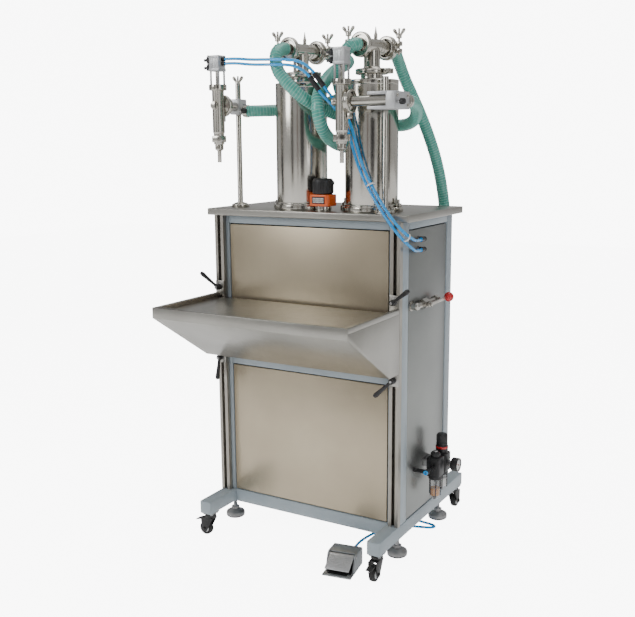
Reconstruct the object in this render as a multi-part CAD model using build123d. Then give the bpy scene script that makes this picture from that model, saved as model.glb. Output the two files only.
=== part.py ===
# Two-head piston liquid filler: wheeled frame, sheet-metal cabinet, sliding bottle tray,
# two product cylinders with tee valves, two shut-off nozzles on stands, air service unit, foot pedal.
# Millimetres, +X right, +Y back, +Z up from the floor. Sizes below are laid out from the cabinet's centre;
# write_parts() puts the origin under the middle of the whole machine.
from build123d import *
import math
import os

# ---- frame and cabinet ----
cabinet_width = 600.0
cabinet_depth = 344.0
tube = 40.0  # square tube, outside
tube_wall = 2.5
rail_length = 600.0
rail_bottom = 75.0
table_height = 980.0
table_sheet = 3.0
table_skirt = 20.0
table_overhang_x = 24.0
table_overhang_y = 19.0
mid_beam_top = 555.0
panel_recess = 2.0
panel_gap = 3.0
panel_raise = 8.0
panel_sheet = 1.5

# ---- tray and its guide channels ----
channel_width = 30.0
channel_depth = 16.0
channel_wall = 2.5
channel_slot = 10.0
slide_gap = 0.3
tray_depth = 290.0
tray_top = 732.0
tray_lip = 30.0
tray_recess = 13.0
tray_rim = 14.0
tray_sheet = 2.0
tray_drop = 177.0  # from the rim down to the lowest edge at the cabinet
tray_foot_depth = 58.0
tab_height = 36.0
tab_sheet = 3.0
lever_reach = 60.0
lever_stud_r = 4.0
lever_angles = {"upper_left": 140.0, "upper_right": 36.0, "lower_left": 270.0, "lower_right": 225.0}

# ---- casters and levelling feet ----
caster_y = 275.0
wheel_r = 21.0
wheel_width = 18.0
axle_r = 4.0
trail = 16.0
caster_angles = {"front_left": 180.0, "front_right": 270.0, "rear_left": 75.0, "rear_right": 90.0}
foot_y = 147.0
foot_r = 29.0
foot_clearance = 15.0
foot_pad = 16.0
foot_stem_r = 6.0

# ---- product cylinders ----
cylinder_x = (-56.0, 166.0)
cylinder_y = -92.0
barrel_r = 72.5
barrel_wall = 3.0
barrel_top = 1330.0
flange_r = barrel_r + 7.5
flange_thickness = 14.0
lug_reach = barrel_r + 19.5
stud_offset = barrel_r + 9.5
head_thickness = 12.0
neck_r = 30.0
neck_height = 22.0
neck_ferrule_r = 38.0
neck_clamp_r = 45.0
riser_r = 22.0
valve_z = 1418.0
valve_turn = -6.0  # degrees about +Z
valve_r = 19.0
valve_wall = 2.0
valve_front = 54.0
valve_back = 74.0
ferrule_r = 25.5
ferrule_thickness = 4.0
clamp_r = 33.0
clamp_width = 15.0
hose_r = 17.0

# ---- pistons and drive ----
stroke = 220.0
piston_height = 40.0
piston_gap = 0.05
rod_r = 10.0
crosshead_bottom = table_height - 140.0
crosshead_thickness = 20.0
drive_x = 55.0
drive_stroke_top = 40.0
drive_size = 90.0
drive_length = 330.0
screw_x = 44.0
screw_y = -146.0
screw_r = 8.0
stop_height = 25.0
running = 0.05

# ---- nozzle stands ----
nozzles = {
    "left": dict(at=(-250.0, -222.0), arm_angle=96.0, block=(92.0, 138.0), across=(-15.0, 15.0), rod=(115.0, 0.0)),
    "right": dict(at=(145.0, -222.0), arm_angle=0.0, block=(134.0, 160.0), across=(-18.0, 72.0), rod=(98.0, 57.0)),
}
nozzle_tip = 1113.0
nozzle_top = 1406.0
arm_z = 1270.0
arm_r = 13.0
stand_rod_r = 8.0
stand_rod_top = 1333.0
nozzle_body_r = 17.0
air_block = 35.0
air_block_height = 43.0

# ---- side fittings ----
tube_r = 4.0
elbow_drops = (100.0, 72.0)  # the side panel's air elbows, down from the table
pedal_port_x = 150.0
valve_side_y = -116.0
valve_side_z = 729.0
valve_reach = 18.0  # from the side panel out to the hand valve's pipe
valve_lever_reach = 34.0
service_reach = 40.0  # from the side panel out to the regulator's middle
service_y = (-18.0, 30.0)
service_z = 245.0

# ---- foot pedal ----
pedal_at = (141.0, -335.0)
pedal_turn = 9.5
pedal_width = 84.0
pedal_length = 106.0

# ---- worked out ----
half_w = cabinet_width / 2
half_d = cabinet_depth / 2
rail_top = rail_bottom + tube
frame_top = table_height - table_sheet
rail_x = half_w - tube / 2
post_y = half_d - tube / 2
channel_x = half_w - channel_width / 2
channel_front = -half_d - channel_depth
tray_back = channel_front - slide_gap
tray_bottom = tray_top - tray_drop
side_face = half_w - panel_recess
valve_x = side_face + valve_reach
valve_lever_x = side_face + valve_lever_reach
service_x = side_face + service_reach
inner_port_y = post_y - tube / 2 - 10

os.makedirs("parts", exist_ok=True)


def block(x0, x1, y0, y1, z0, z1):
    return Pos((x0 + x1) / 2, (y0 + y1) / 2, (z0 + z1) / 2) * Box(x1 - x0, y1 - y0, z1 - z0)


def bar(start, end, radius):
    """Round bar from start to end."""
    a, b = Vector(*start), Vector(*end)
    length = (b - a).length
    return Plane(origin=a, z_dir=(b - a)) * Pos(0, 0, length / 2) * Cylinder(radius, length)


def post(x, y, z0, z1, radius):
    return bar((x, y, z0), (x, y, z1), radius)


def hexagon(start, end, across_flats):
    a, b = Vector(*start), Vector(*end)
    plane = Plane(origin=a, z_dir=(b - a))
    return extrude(plane * RegularPolygon(across_flats / math.sqrt(3), 6), (b - a).length)


def square_tube(x0, x1, y0, y1, z0, z1, along):
    """Square tube, open along one axis."""
    w = tube_wall
    grow = {"x": (0, w, w), "y": (w, 0, w), "z": (w, w, 0)}[along]
    inner = block(x0 + grow[0], x1 - grow[0], y0 + grow[1], y1 - grow[1], z0 + grow[2], z1 - grow[2])
    return block(x0, x1, y0, y1, z0, z1) - inner


pieces = {}


def save(name, *solids):
    flat = []
    for shape in solids:
        flat += shape if isinstance(shape, (list, tuple)) else [shape]
    whole = [s for shape in flat for s in shape.solids()]
    pieces[name] = whole


def write_parts():
    """Write every node with the origin under the middle of the machine without its hoses and tubes."""
    fixed = [name for name in pieces if name not in hose_routes and name not in air_routes]
    boxes = [solid.bounding_box() for name in fixed for solid in pieces[name]]
    mid_x = (min(box.min.X for box in boxes) + max(box.max.X for box in boxes)) / 2
    mid_y = (min(box.min.Y for box in boxes) + max(box.max.Y for box in boxes)) / 2
    print(f"origin moved from the cabinet's centre by {mid_x:.4f}, {mid_y:.4f}")
    for name, solids in pieces.items():
        moved = [solid.moved(Location((-mid_x, -mid_y, 0))) for solid in solids]
        export_step(moved[0] if len(moved) == 1 else Compound(children=moved), f"parts/{name}.step")


def frame_parts():
    rails = []
    for side in (-1, 1):
        x0, x1 = sorted((side * half_w, side * (half_w - tube)))
        rail = block(x0, x1, -rail_length / 2, rail_length / 2, rail_bottom, rail_top)
        rail -= block(x0 + tube_wall, x1 - tube_wall, -rail_length / 2 + 3, rail_length / 2 - 3,
                      rail_bottom + tube_wall, rail_top - tube_wall)
        for y in (-foot_y, foot_y):
            rail += post(side * rail_x, y, rail_bottom - 8, rail_bottom + 1, 11)
            rail -= post(side * rail_x, y, rail_bottom - 9, rail_bottom + tube_wall + 1, foot_stem_r + running)
        rails.append(rail)
        for y in (-caster_y, caster_y):
            plate = block(side * rail_x - 19, side * rail_x + 19, y - 19, y + 19, rail_bottom - 3, rail_bottom)
            rails.append(plate + post(side * rail_x, y, rail_bottom - 18, rail_bottom - 3, 5))
    crossbeams = [square_tube(-half_w + tube, half_w - tube, y - tube / 2, y + tube / 2, rail_bottom, rail_top, "x")
                  for y in (-post_y, post_y)]
    save("base_frame", rails, crossbeams)

    members = []
    for x in (-rail_x, rail_x):
        for y in (-post_y, post_y):
            members.append(square_tube(x - tube / 2, x + tube / 2, y - tube / 2, y + tube / 2, rail_top, frame_top, "z"))
        members.append(square_tube(x - tube / 2, x + tube / 2, -half_d + tube, half_d - tube,
                                   frame_top - tube, frame_top, "y"))
    for y in (-post_y, post_y):
        for top in (frame_top, mid_beam_top):
            beam = square_tube(-half_w + tube, half_w - tube, y - tube / 2, y + tube / 2, top - tube, top, "x")
            if top == frame_top:
                beam -= post(screw_x, screw_y, top - tube - 1, top + 1, screw_r + 1)
            members.append(beam)
    save("cabinet_frame", members)


def raised_panel(width, height):
    """Folded panel facing -Y: a flange that fills the opening and a raised field with a shadow gap round it.
    Its face is at y=0, its middle at x=0, z=0."""
    field_w, field_h = width - 2 * panel_gap, height - 2 * panel_gap
    panel = Pos(0, panel_raise / 2, 0) * Box(field_w, panel_raise, field_h)
    panel += Pos(0, panel_raise - panel_sheet / 2, 0) * Box(width, panel_sheet, height)
    panel -= Pos(0, panel_raise / 2 + panel_sheet, 0) * Box(field_w - 2 * panel_sheet, panel_raise, field_h - 2 * panel_sheet)
    return panel


def panel_parts():
    opening_w = cabinet_width - 2 * tube
    opening_d = cabinet_depth - 2 * tube
    upper = (mid_beam_top, frame_top - tube)
    lower = (rail_top, mid_beam_top - tube)
    fronts = [Pos(0, -half_d + panel_recess, (z0 + z1) / 2) * raised_panel(opening_w, z1 - z0) for z0, z1 in (upper, lower)]
    rears = [Rot(0, 0, 180) * panel for panel in fronts]
    side_h = frame_top - tube - rail_top
    side = Pos(0, 0, rail_top + side_h / 2) * raised_panel(opening_d, side_h)
    sides = [Pos(turn * side_face, 0, 0) * Rot(0, 0, 90 * turn) * side for turn in (-1, 1)]
    save("cabinet_panels", fronts, rears, sides)


def table_part():
    w, d = half_w + table_overhang_x, half_d + table_overhang_y
    table = block(-w, w, -d, d, table_height - table_skirt, table_height)
    table -= block(-w + table_sheet, w - table_sheet, -d + table_sheet, d - table_sheet,
                   table_height - table_skirt - 1, frame_top)
    for x in cylinder_x:
        table -= post(x, cylinder_y, frame_top - 1, table_height + 1, rod_r + 4)
    table -= post(screw_x, screw_y, frame_top - 1, table_height + 1, screw_r + 1)
    save("top_plate", table)


def channel_parts():
    channels = []
    for side in (-1, 1):
        x = side * channel_x
        z0, z1 = rail_top, table_height - table_skirt
        channel = block(x - channel_width / 2, x + channel_width / 2, channel_front, -half_d, z0, z1)
        channel -= block(x - channel_width / 2 + channel_wall, x + channel_width / 2 - channel_wall,
                         channel_front + channel_wall, -half_d - channel_wall, z0 - 1, z1 + 1)
        channel -= block(x - channel_slot / 2, x + channel_slot / 2, channel_front - 1, channel_front + 3, z0 - 1, z1 + 1)
        channels.append(channel)
    save("guide_channels", channels)


def tray_part():
    front = tray_back - tray_depth
    foot = tray_back - tray_foot_depth
    profile = [(tray_back, tray_top), (front, tray_top), (front, tray_top - tray_lip), (foot, tray_bottom),
               (tray_back, tray_bottom)]
    t = tray_sheet
    slope = math.atan2(tray_top - tray_lip - tray_bottom, foot - front)
    rise = t / math.cos(slope)
    inner = [(tray_back - t, tray_top - tray_recess - t), (front + t, tray_top - tray_recess - t),
             (front + t, tray_top - tray_lip + rise), (foot, tray_bottom + rise), (tray_back - t, tray_bottom + rise)]

    def prism(points, width):
        face = Plane.YZ * make_face(Polyline(*points, close=True))
        return Pos(-width / 2, 0, 0) * extrude(face, width)

    tray = prism(profile, cabinet_width) - prism(inner, cabinet_width - 2 * t)
    tray -= block(-half_w + tray_rim, half_w - tray_rim, front + tray_rim, tray_back + 1, tray_top - tray_recess, tray_top + 1)
    nuts = []
    for name, (x, z) in lever_places().items():
        tab_z0 = tray_top if "upper" in name else tray_bottom - tab_height
        tray += block(x - channel_width / 2, x + channel_width / 2, tray_back - tab_sheet, tray_back,
                      tab_z0 - (8 if "upper" in name else 0), tab_z0 + tab_height + (0 if "upper" in name else 8))
        tray -= bar((x, tray_back - 10, z), (x, tray_back + 1, z), lever_stud_r + running)
        nut_y = channel_front + channel_wall + slide_gap
        nut = block(x - 10, x + 10, nut_y, nut_y + 6, z - 10, z + 10)
        nuts.append(nut - bar((x, nut_y - 1, z), (x, nut_y + 7, z), lever_stud_r + running))
    save("tray", tray, nuts)


def lever_places():
    upper_z, lower_z = tray_top + tab_height / 2, tray_bottom - tab_height / 2
    return {"upper_left": (-channel_x, upper_z), "upper_right": (channel_x, upper_z),
            "lower_left": (-channel_x, lower_z), "lower_right": (channel_x, lower_z)}


def lever_parts():
    for name, (x, z) in lever_places().items():
        face = tray_back - tab_sheet
        hub = bar((x, face, z), (x, face - 20, z), 9)
        angle = math.radians(lever_angles[name])
        reach = Vector(math.cos(angle), 0, math.sin(angle))
        root, end = Vector(x, face - 11, z), Vector(x, face - 24, z) + reach * lever_reach
        step = (end - root).normalized()
        lever = hub + bar(root, end, 4.5) + bar(end - step * 6, end + step * 6, 6.5)
        lever += bar((x, face, z), (x, channel_front + channel_wall + 5, z), lever_stud_r)
        save(f"clamp_lever_{name}", lever)


def caster_parts():
    for name, angle in caster_angles.items():
        side = -1 if "left" in name else 1
        end = -1 if "front" in name else 1
        place = Pos(side * rail_x, end * caster_y, 0) * Rot(0, 0, angle)
        head = post(0, 0, rail_bottom - 16, rail_bottom - 3.3, 17)
        bridge = block(-14, 22, -13.5, 13.5, rail_bottom - 20, rail_bottom - 16)
        fork = head + bridge
        for y0 in (-13.5, 11.0):
            outline = Polyline((-14, 57), (28, 57), (28, 45), (trail + 8, 14), (trail - 8, 14), close=True)
            fork += Pos(0, y0 + 2.5, 0) * extrude(Plane.XZ * make_face(outline), 2.5)
        fork += bar((trail, -13.5, wheel_r), (trail, 13.5, wheel_r), axle_r)
        fork -= post(0, 0, rail_bottom - 21, rail_bottom - 3, 5 + running)
        if "front" in name:
            fork += bar((24, -12, 50), (24, 12, 50), 2)
        save(f"caster_fork_{name}", place * fork)
        wheel = bar((trail, -wheel_width / 2, wheel_r), (trail, wheel_width / 2, wheel_r), wheel_r)
        wheel = fillet(wheel.edges().filter_by(GeomType.CIRCLE), 4)
        wheel += bar((trail, -10.7, wheel_r), (trail, 10.7, wheel_r), 9)
        wheel -= bar((trail, -11, wheel_r), (trail, 11, wheel_r), axle_r + running)
        save(f"caster_wheel_{name}", place * wheel)
        if "front" in name:
            brake = bar((24, -9.5, 50), (24, 9.5, 50), 4)
            outline = Polyline((26, 52), (50, 44), (50, 41.5), (26, 49), close=True)
            brake += Pos(0, 9.5, 0) * extrude(Plane.XZ * make_face(outline), 19)
            brake -= bar((24, -10, 50), (24, 10, 50), 2 + running)
            save(f"caster_brake_{name}", place * brake)


def foot_parts():
    for side_name, side in (("left", -1), ("right", 1)):
        for end_name, end in (("front", -1), ("rear", 1)):
            x, y = side * rail_x, end * foot_y
            foot = post(x, y, foot_clearance, foot_clearance + foot_pad, foot_r)
            foot += Pos(x, y, foot_clearance + foot_pad + 3) * Cone(foot_r - 2, 15, 6)
            foot += post(x, y, foot_clearance + foot_pad, rail_top - tube_wall - 20, foot_stem_r)
            foot += hexagon((x, y, foot_clearance + foot_pad + 5), (x, y, foot_clearance + foot_pad + 16), 22)
            save(f"levelling_foot_{end_name}_{side_name}", foot)


def on_valve(cx, local):
    """A point given along (x, forward y, z) of a turned valve, in the row frame."""
    spin = math.radians(valve_turn)
    x, y, z = local
    return (cx + x * math.cos(spin) - y * math.sin(spin), cylinder_y + x * math.sin(spin) + y * math.cos(spin), z)


def clamp_ring(center, direction, outer, groove, bore):
    """Pipe clamp round a pair of ferrules that meet at center."""
    ring = Cylinder(outer, clamp_width) - Cylinder(bore, clamp_width + 2) - Cylinder(groove, 2 * ferrule_thickness)
    return Plane(origin=center, z_dir=direction) * ring


def cylinder_parts():
    barrels, caps, clamps, fasteners, valves, adapters = [], [], [], [], [], []
    base = table_height
    flange_top = base + flange_thickness
    neck_top = barrel_top + neck_height
    t = ferrule_thickness
    for cx in cylinder_x:
        barrel = post(cx, cylinder_y, flange_top, barrel_top - head_thickness, barrel_r)
        barrels.append(barrel - post(cx, cylinder_y, flange_top - 1, barrel_top, barrel_r - barrel_wall))
        flange = post(cx, cylinder_y, base, flange_top, flange_r)
        for side in (-1, 1):
            x0, x1 = sorted((cx, cx + side * lug_reach))
            flange += block(x0, x1, cylinder_y - 11, cylinder_y + 11, base, flange_top)
            sx = cx + side * stud_offset
            fasteners.append(post(sx, cylinder_y, flange_top, flange_top + 20, 4)
                             + hexagon((sx, cylinder_y, flange_top), (sx, cylinder_y, flange_top + 9), 15))
        caps.append(flange - post(cx, cylinder_y, base - 1, flange_top + 1, rod_r + running))
        head = post(cx, cylinder_y, barrel_top - head_thickness, barrel_top, barrel_r)
        head += post(cx, cylinder_y, barrel_top, neck_top, neck_r)
        head += post(cx, cylinder_y, neck_top - t, neck_top, neck_ferrule_r)
        head -= post(cx, cylinder_y, barrel_top - head_thickness - 1, neck_top + 1, riser_r - valve_wall)
        caps.append(head)

        front, back = on_valve(cx, (0, -valve_front, valve_z)), on_valve(cx, (0, valve_back, valve_z))
        along = Vector(*back) - Vector(*front)
        valve = post(cx, cylinder_y, neck_top, valve_z, riser_r)
        valve += post(cx, cylinder_y, neck_top, neck_top + t, neck_ferrule_r) + bar(front, back, valve_r)
        valve += bar(front, on_valve(cx, (0, -valve_front + t, valve_z)), ferrule_r)
        valve += bar(back, on_valve(cx, (0, valve_back - t, valve_z)), ferrule_r)
        bore = post(cx, cylinder_y, neck_top - 1, valve_z, riser_r - valve_wall)
        bore += bar(on_valve(cx, (0, -valve_front - 1, valve_z)), on_valve(cx, (0, valve_back + 1, valve_z)),
                    valve_r - valve_wall)
        valves.append(valve - bore)
        vx, vy, _ = on_valve(cx, (0, 18, valve_z))
        vent = post(vx, vy, valve_z + valve_r - 1.5, valve_z + 34, 5) + Pos(vx, vy, valve_z + 43) * Cone(3.5, 0.8, 18)
        adapters.append(vent - bar(on_valve(cx, (0, -30, valve_z)), on_valve(cx, (0, 60, valve_z)), valve_r))
        for end, sign in ((-valve_front, -1), (valve_back, 1)):
            stub = bar(on_valve(cx, (0, end, valve_z)), on_valve(cx, (0, end + sign * t, valve_z)), ferrule_r)
            adapters.append(stub + bar(on_valve(cx, (0, end + sign * t, valve_z)),
                                       on_valve(cx, (0, end + sign * 2 * t, valve_z)), hose_r))

        ring = clamp_ring((cx, cylinder_y, neck_top), (0, 0, 1), neck_clamp_r, neck_ferrule_r, neck_r + 2)
        for y0, y1 in ((-12, -3), (3, 12)):
            ring += block(cx + neck_clamp_r - 3, cx + neck_clamp_r + 14, cylinder_y + y0, cylinder_y + y1,
                          neck_top - 7, neck_top + 7)
        clamps.append(ring)
        ear_x = cx + neck_clamp_r + 6
        fasteners.append(bar((ear_x, cylinder_y - 24, neck_top), (ear_x, cylinder_y - 12, neck_top), 6.5))
        for spot_y, center, ear in ((-valve_front, front, -1), (valve_back, back, 1)):
            ring = clamp_ring(center, along, clamp_r, ferrule_r, valve_r + 2)
            spot = on_valve(cx, (ear * (clamp_r + 6), spot_y, valve_z))
            turned = Pos(spot[0], spot[1], 0) * Rot(0, 0, valve_turn)
            for z0, z1 in ((valve_z - 16, valve_z - 3), (valve_z + 3, valve_z + 16)):
                ring += turned * block(*((-16, 8) if ear > 0 else (-8, 16)), -7, 7, z0, z1)
            clear = Cylinder(valve_r + 2, clamp_width + 20) + Cylinder(ferrule_r, 2 * t)
            clamps.append(ring - Plane(origin=center, z_dir=along) * clear)
            fasteners.append(wing_nut(spot, valve_z + 16))
    save("product_barrels", barrels)
    save("barrel_end_caps", caps)
    save("sanitary_clamps", clamps)
    save("clamp_fasteners", fasteners)
    save("valve_bodies", valves)
    save("hose_adapters", adapters)


def wing_nut(spot, z):
    x, y = spot[0], spot[1]
    nut = Pos(x, y, z + 6) * Cone(8, 5.5, 12)
    nut += post(x, y, z + 10, z + 26, 3)
    for side in (-1, 1):
        nut += bar((x + side * 3, y, z + 7), (x + side * 13, y, z + 21), 3) + Pos(x + side * 13, y, z + 21) * Sphere(5)
    return nut


def drive_parts():
    crosshead_top = crosshead_bottom + crosshead_thickness
    piston_top = barrel_top - head_thickness - 1
    bore_r = barrel_r - barrel_wall
    carriage = [block(cylinder_x[0] - 25, cylinder_x[1] + 25, cylinder_y - 25, cylinder_y + 25,
                      crosshead_bottom, crosshead_top)]
    for cx in cylinder_x:
        hub = post(cx, cylinder_y, 0, table_height * 2, bore_r - 6)
        groove = post(cx, cylinder_y, piston_top - 26, piston_top - 14, bore_r) - hub
        carriage.append(post(cx, cylinder_y, crosshead_top, piston_top - piston_height, rod_r))
        carriage.append(post(cx, cylinder_y, piston_top - piston_height, piston_top, bore_r - 1) - groove)
        carriage.append(post(cx, cylinder_y, piston_top - 26, piston_top - 14, bore_r - piston_gap) - hub)
    support_top = mid_beam_top - tube
    s = drive_size / 2
    drive_bore = s - 6
    drive_rod = post(drive_x, cylinder_y, support_top - drive_stroke_top, crosshead_bottom, rod_r)
    drive_rod += post(drive_x, cylinder_y, support_top - drive_stroke_top - 20, support_top - drive_stroke_top,
                      drive_bore - piston_gap)
    save("piston_assembly", carriage, drive_rod)

    body = block(drive_x - s, drive_x + s, cylinder_y - s + 5, cylinder_y + s + 5, support_top - drive_length, support_top)
    body -= post(drive_x, cylinder_y, support_top - drive_length + 20, support_top - 20, drive_bore)
    body -= post(drive_x, cylinder_y, support_top - 30, support_top + 1, rod_r + running)
    support = block(drive_x - s - 10, drive_x + s + 10, -half_d + tube, half_d - tube, support_top, support_top + 10)
    support -= post(drive_x, cylinder_y, support_top - 1, support_top + 11, rod_r + 3)
    save("drive_cylinder", body, support)

    stop_z = crosshead_bottom - stroke - stop_height - 1
    stop = block(drive_x - 33, drive_x + 22, screw_y - 14, cylinder_y + 22, stop_z, stop_z + stop_height)
    stop -= post(screw_x, screw_y, stop_z - 1, stop_z + stop_height + 1, screw_r + running)
    stop -= post(drive_x, cylinder_y, stop_z - 1, stop_z + stop_height + 1, rod_r + 2)
    save("stop_plate", stop)

    foot_top = table_height + flange_thickness
    housing = block(screw_x - 31, screw_x + 31, screw_y - 27, screw_y + 27, foot_top, foot_top + 32)
    housing = fillet(housing.edges().filter_by(Axis.Z), 10) + post(screw_x, screw_y, table_height, foot_top, 22)
    save("indicator_housing", housing - post(screw_x, screw_y, table_height - 1, foot_top + 33, screw_r + running))
    knob_z = foot_top + 32 + slide_gap
    knob = post(screw_x, screw_y, knob_z, knob_z + 44, 29)
    knob += block(screw_x + 20, screw_x + 34, screw_y - 8, screw_y + 8, knob_z + 24, knob_z + 38)
    save("adjusting_knob", knob + post(screw_x, screw_y, mid_beam_top + slide_gap, knob_z + 1, screw_r))


def station(spec):
    """Frame of a nozzle stand: x along its arm, z up."""
    return Pos(spec["at"][0], spec["at"][1], 0) * Rot(0, 0, spec["arm_angle"])


def on_station(name, along, across, z):
    """A point along and across a stand's arm, in the row frame."""
    spec = nozzles[name]
    spin = math.radians(spec["arm_angle"])
    return (spec["at"][0] + along * math.cos(spin) - across * math.sin(spin),
            spec["at"][1] + along * math.sin(spin) + across * math.cos(spin), z)


def nozzle_parts():
    rods, blocks, bodies, cylinders, controls = [], [], [], [], []
    for name, spec in nozzles.items():
        place = station(spec)
        rx, ry = spec["rod"]
        rods.append(place * (post(rx, ry, table_height + 14, stand_rod_top, stand_rod_r)
                             + post(rx, ry, table_height, table_height + 14, 26)))
        b0, b1 = spec["block"]
        a0, a1 = spec["across"]
        z0, z1 = arm_z - 22, arm_z + 22
        if ry:
            clamp = block(b0, b1, a0, a1, z0, z1)
            for p0, p1 in ((z0, z0 + 8), (z1 - 8, z1)):
                clamp += block(rx - 16, b0 + 1, a0, a1, p0, p1)
            clamp += post(rx, ry, z0, z1, 15)
            knob_at = (b1, a0 + 14)
        else:
            clamp = block(b0, b1, a0, a1, z0, z1)
            knob_at = None
        clamp -= post(rx, ry, z0 - 1, z1 + 1, stand_rod_r)
        blocks.append(place * clamp)
        if knob_at:
            start, end = (b1, knob_at[1], arm_z - 4), (b1 + 22, knob_at[1], arm_z - 4)
            collar = bar((b0 + 13, a1, arm_z), (b0 + 13, a1 + 8, arm_z), hose_r)
        else:
            start, end = (b0 + 3, -a1, arm_z - 12), (b0 + 3, -a1 - 22, arm_z - 12)
            collar = bar((b0 + 30, -a1, arm_z - 12), (b0 + 30, -a1 - 8, arm_z - 12), hose_r)
        step = (Vector(*end) - Vector(*start)).normalized()
        knob = bar(Vector(*start) + step * 0.3, Vector(*start) + step * 8, 4)
        knob += bar(Vector(*start) + step * 8, end, 8)
        save(f"rod_clamp_knob_{name}", place * knob)
        blocks.append(place * collar)

        body = post(0, 0, nozzle_tip + 83, nozzle_tip + 198, nozzle_body_r)
        body += post(0, 0, nozzle_tip + 198, nozzle_tip + 214, 25)
        body += post(0, 0, nozzle_tip + 50, nozzle_tip + 83, 15)
        body += bar((0, 0, arm_z), (24, 0, arm_z), arm_r) + bar((20, 0, arm_z), (24, 0, arm_z), 25)
        body += bar((0, 0, arm_z), (-26, 0, arm_z), 9)
        body -= post(0, 0, nozzle_tip + 40, nozzle_tip + 214 + 1, 11)
        tip = post(0, 0, nozzle_tip + 34, nozzle_tip + 50, 12) + post(0, 0, nozzle_tip, nozzle_tip + 34, 6)
        tip -= post(0, 0, nozzle_tip - 1, nozzle_tip + 51, 4.5)
        nut = hexagon((0, 0, nozzle_tip + 56), (0, 0, nozzle_tip + 74), 40) - post(0, 0, 0, 3000, 15)
        arm = bar((24, 0, arm_z), (b0, 0, arm_z), arm_r) + bar((24, 0, arm_z), (28, 0, arm_z), 25)
        ring = bar((17.5, 0, arm_z), (30.5, 0, arm_z), 31) - bar((10, 0, arm_z), (40, 0, arm_z), 18)
        ring -= bar((20, 0, arm_z), (28, 0, arm_z), 25)
        ring += block(18, 30, -7, 7, arm_z - 44, arm_z - 30)
        bodies += [place * solid for solid in (body, tip, nut, arm, ring)]

        s = air_block / 2
        air_z = nozzle_top - air_block_height
        cyl = block(-s, s, -s, s, air_z, nozzle_top) - post(0, 0, air_z - 1, nozzle_top - 12, 10)
        cylinders.append(Pos(*spec["at"], 0) * cyl)
        for px in (-13, 13):
            for py in (-13, 13):
                cylinders.append(Pos(*spec["at"], 0) * post(px, py, nozzle_tip + 214, air_z, 3))
        plunger = post(0, 0, nozzle_tip + 51, air_z + 12, 4) + post(0, 0, nozzle_tip + 51, nozzle_tip + 60, 8)
        plunger += post(0, 0, air_z + 4, air_z + 14, 9.7)
        save(f"nozzle_plunger_{name}", Pos(*spec["at"], 0) * plunger)
        for z in (air_z + 11, nozzle_top - 11):
            side = -1
            fitting = bar((side * s, 0, z), (side * (s + 12), 0, z), 5) + post(side * (s + 12), 0, z - 8, z + 8, 6)
            fitting += bar((side * (s + 12), 0, z), (side * (s + 26), 0, z), 4)
            controls.append(Pos(*spec["at"], 0) * fitting)
            if name == "left":
                port_z = air_z + (20 if z < air_z + 20 else 32)
                port = bar((s, 0, port_z), (s + 10, 0, port_z), 5.5)
                controls.append(Pos(*spec["at"], 0) * port)
    save("stand_rods", rods)
    save("rod_clamps", blocks)
    save("nozzle_bodies", bodies)
    save("nozzle_air_cylinders", cylinders)
    return controls


def side_parts(fittings):
    y0, z = valve_side_y, valve_side_z
    body = bar((side_face, y0, z), (side_face + 4, y0, z), 14) + bar((side_face + 4, y0, z), (valve_x, y0, z), 10)
    body += Pos(valve_x, y0, z) * Sphere(11) + bar((valve_x, y0, z), (valve_x, 22, z), 8)
    body += hexagon((valve_x, -80, z), (valve_x, -50, z), 26) + hexagon((valve_x, 6, z), (valve_x, 22, z), 22)
    body += bar((valve_x, -65, z), (valve_lever_x - 0.3, -65, z), 4)
    save("hand_valve_body", body)
    lever = block(valve_lever_x, valve_lever_x + 4, -75, 60, z - 7, z + 7) + Pos(valve_lever_x + 2, 70, z) * Sphere(14)
    save("hand_valve_lever", lever)

    units, (near, far) = [], service_y
    w = 20
    for y, bowl in ((near, 72.0), (far, 60.0)):
        units.append(block(service_x - w, service_x + w, y - w, y + w, service_z - 25, service_z + 32))
        units.append(post(service_x, y, service_z - 25 - bowl, service_z - 25, 17))
    units.append(block(service_x - 12, service_x + 12, near + w, far - w, service_z - 10, service_z + 22))
    units.append(block(side_face, service_x - w, near, far, service_z - 4, service_z + 18))
    units.append(post(service_x, far, service_z + 32, service_z + 54, 18))
    units.append(post(service_x, near, service_z + 32, service_z + 46, 14))
    save("filter_regulator", units)
    cap = post(service_x, far, service_z + 54.3, service_z + 88, 17)
    save("regulator_knob", cap)
    gauge = bar((service_x + w, far, service_z), (service_x + w + 12, far, service_z), 8)
    gauge += bar((service_x + w + 12, far, service_z), (service_x + w + 34, far, service_z), 20)
    save("pressure_gauge", gauge)

    for z in [table_height - drop for drop in elbow_drops]:
        elbow = bar((side_face, -70, z), (side_face + 16, -70, z), 6) + Pos(side_face + 18, -70, z) * Sphere(7)
        fittings.append(elbow + bar((side_face + 18, -70, z), (side_face + 18, -92, z), 6))
    port = bar((service_x, near - w, service_z + 5), (service_x, near - w - 16, service_z + 5), 7)
    link = bar((service_x, near - w - 16, service_z + 5), (service_x, near - w - 34, service_z + 5), tube_r)
    fittings += [port, link, Pos(service_x, near - w - 42, service_z + 5) * Sphere(8.2)]
    fittings.append(bar((side_face, near - w - 42, service_z + 5), (service_x - 6, near - w - 42, service_z + 5), 6))
    inner_y, port_z = post_y - tube / 2, rail_bottom + tube / 2
    elbow = bar((pedal_port_x, inner_y, port_z), (pedal_port_x, inner_y - 10, port_z), 6)
    elbow += Pos(pedal_port_x, inner_y - 10, port_z) * Sphere(7)
    fittings.append(elbow + bar((pedal_port_x, inner_y - 10, port_z), (pedal_port_x, inner_y - 10, port_z - 17), 6))
    save("air_fittings", fittings)


def on_pedal(x, y, z):
    """A point on the turned pedal, in the row frame."""
    spin = math.radians(pedal_turn)
    return (pedal_at[0] + x * math.cos(spin) - y * math.sin(spin),
            pedal_at[1] + x * math.sin(spin) + y * math.cos(spin), z)


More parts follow.
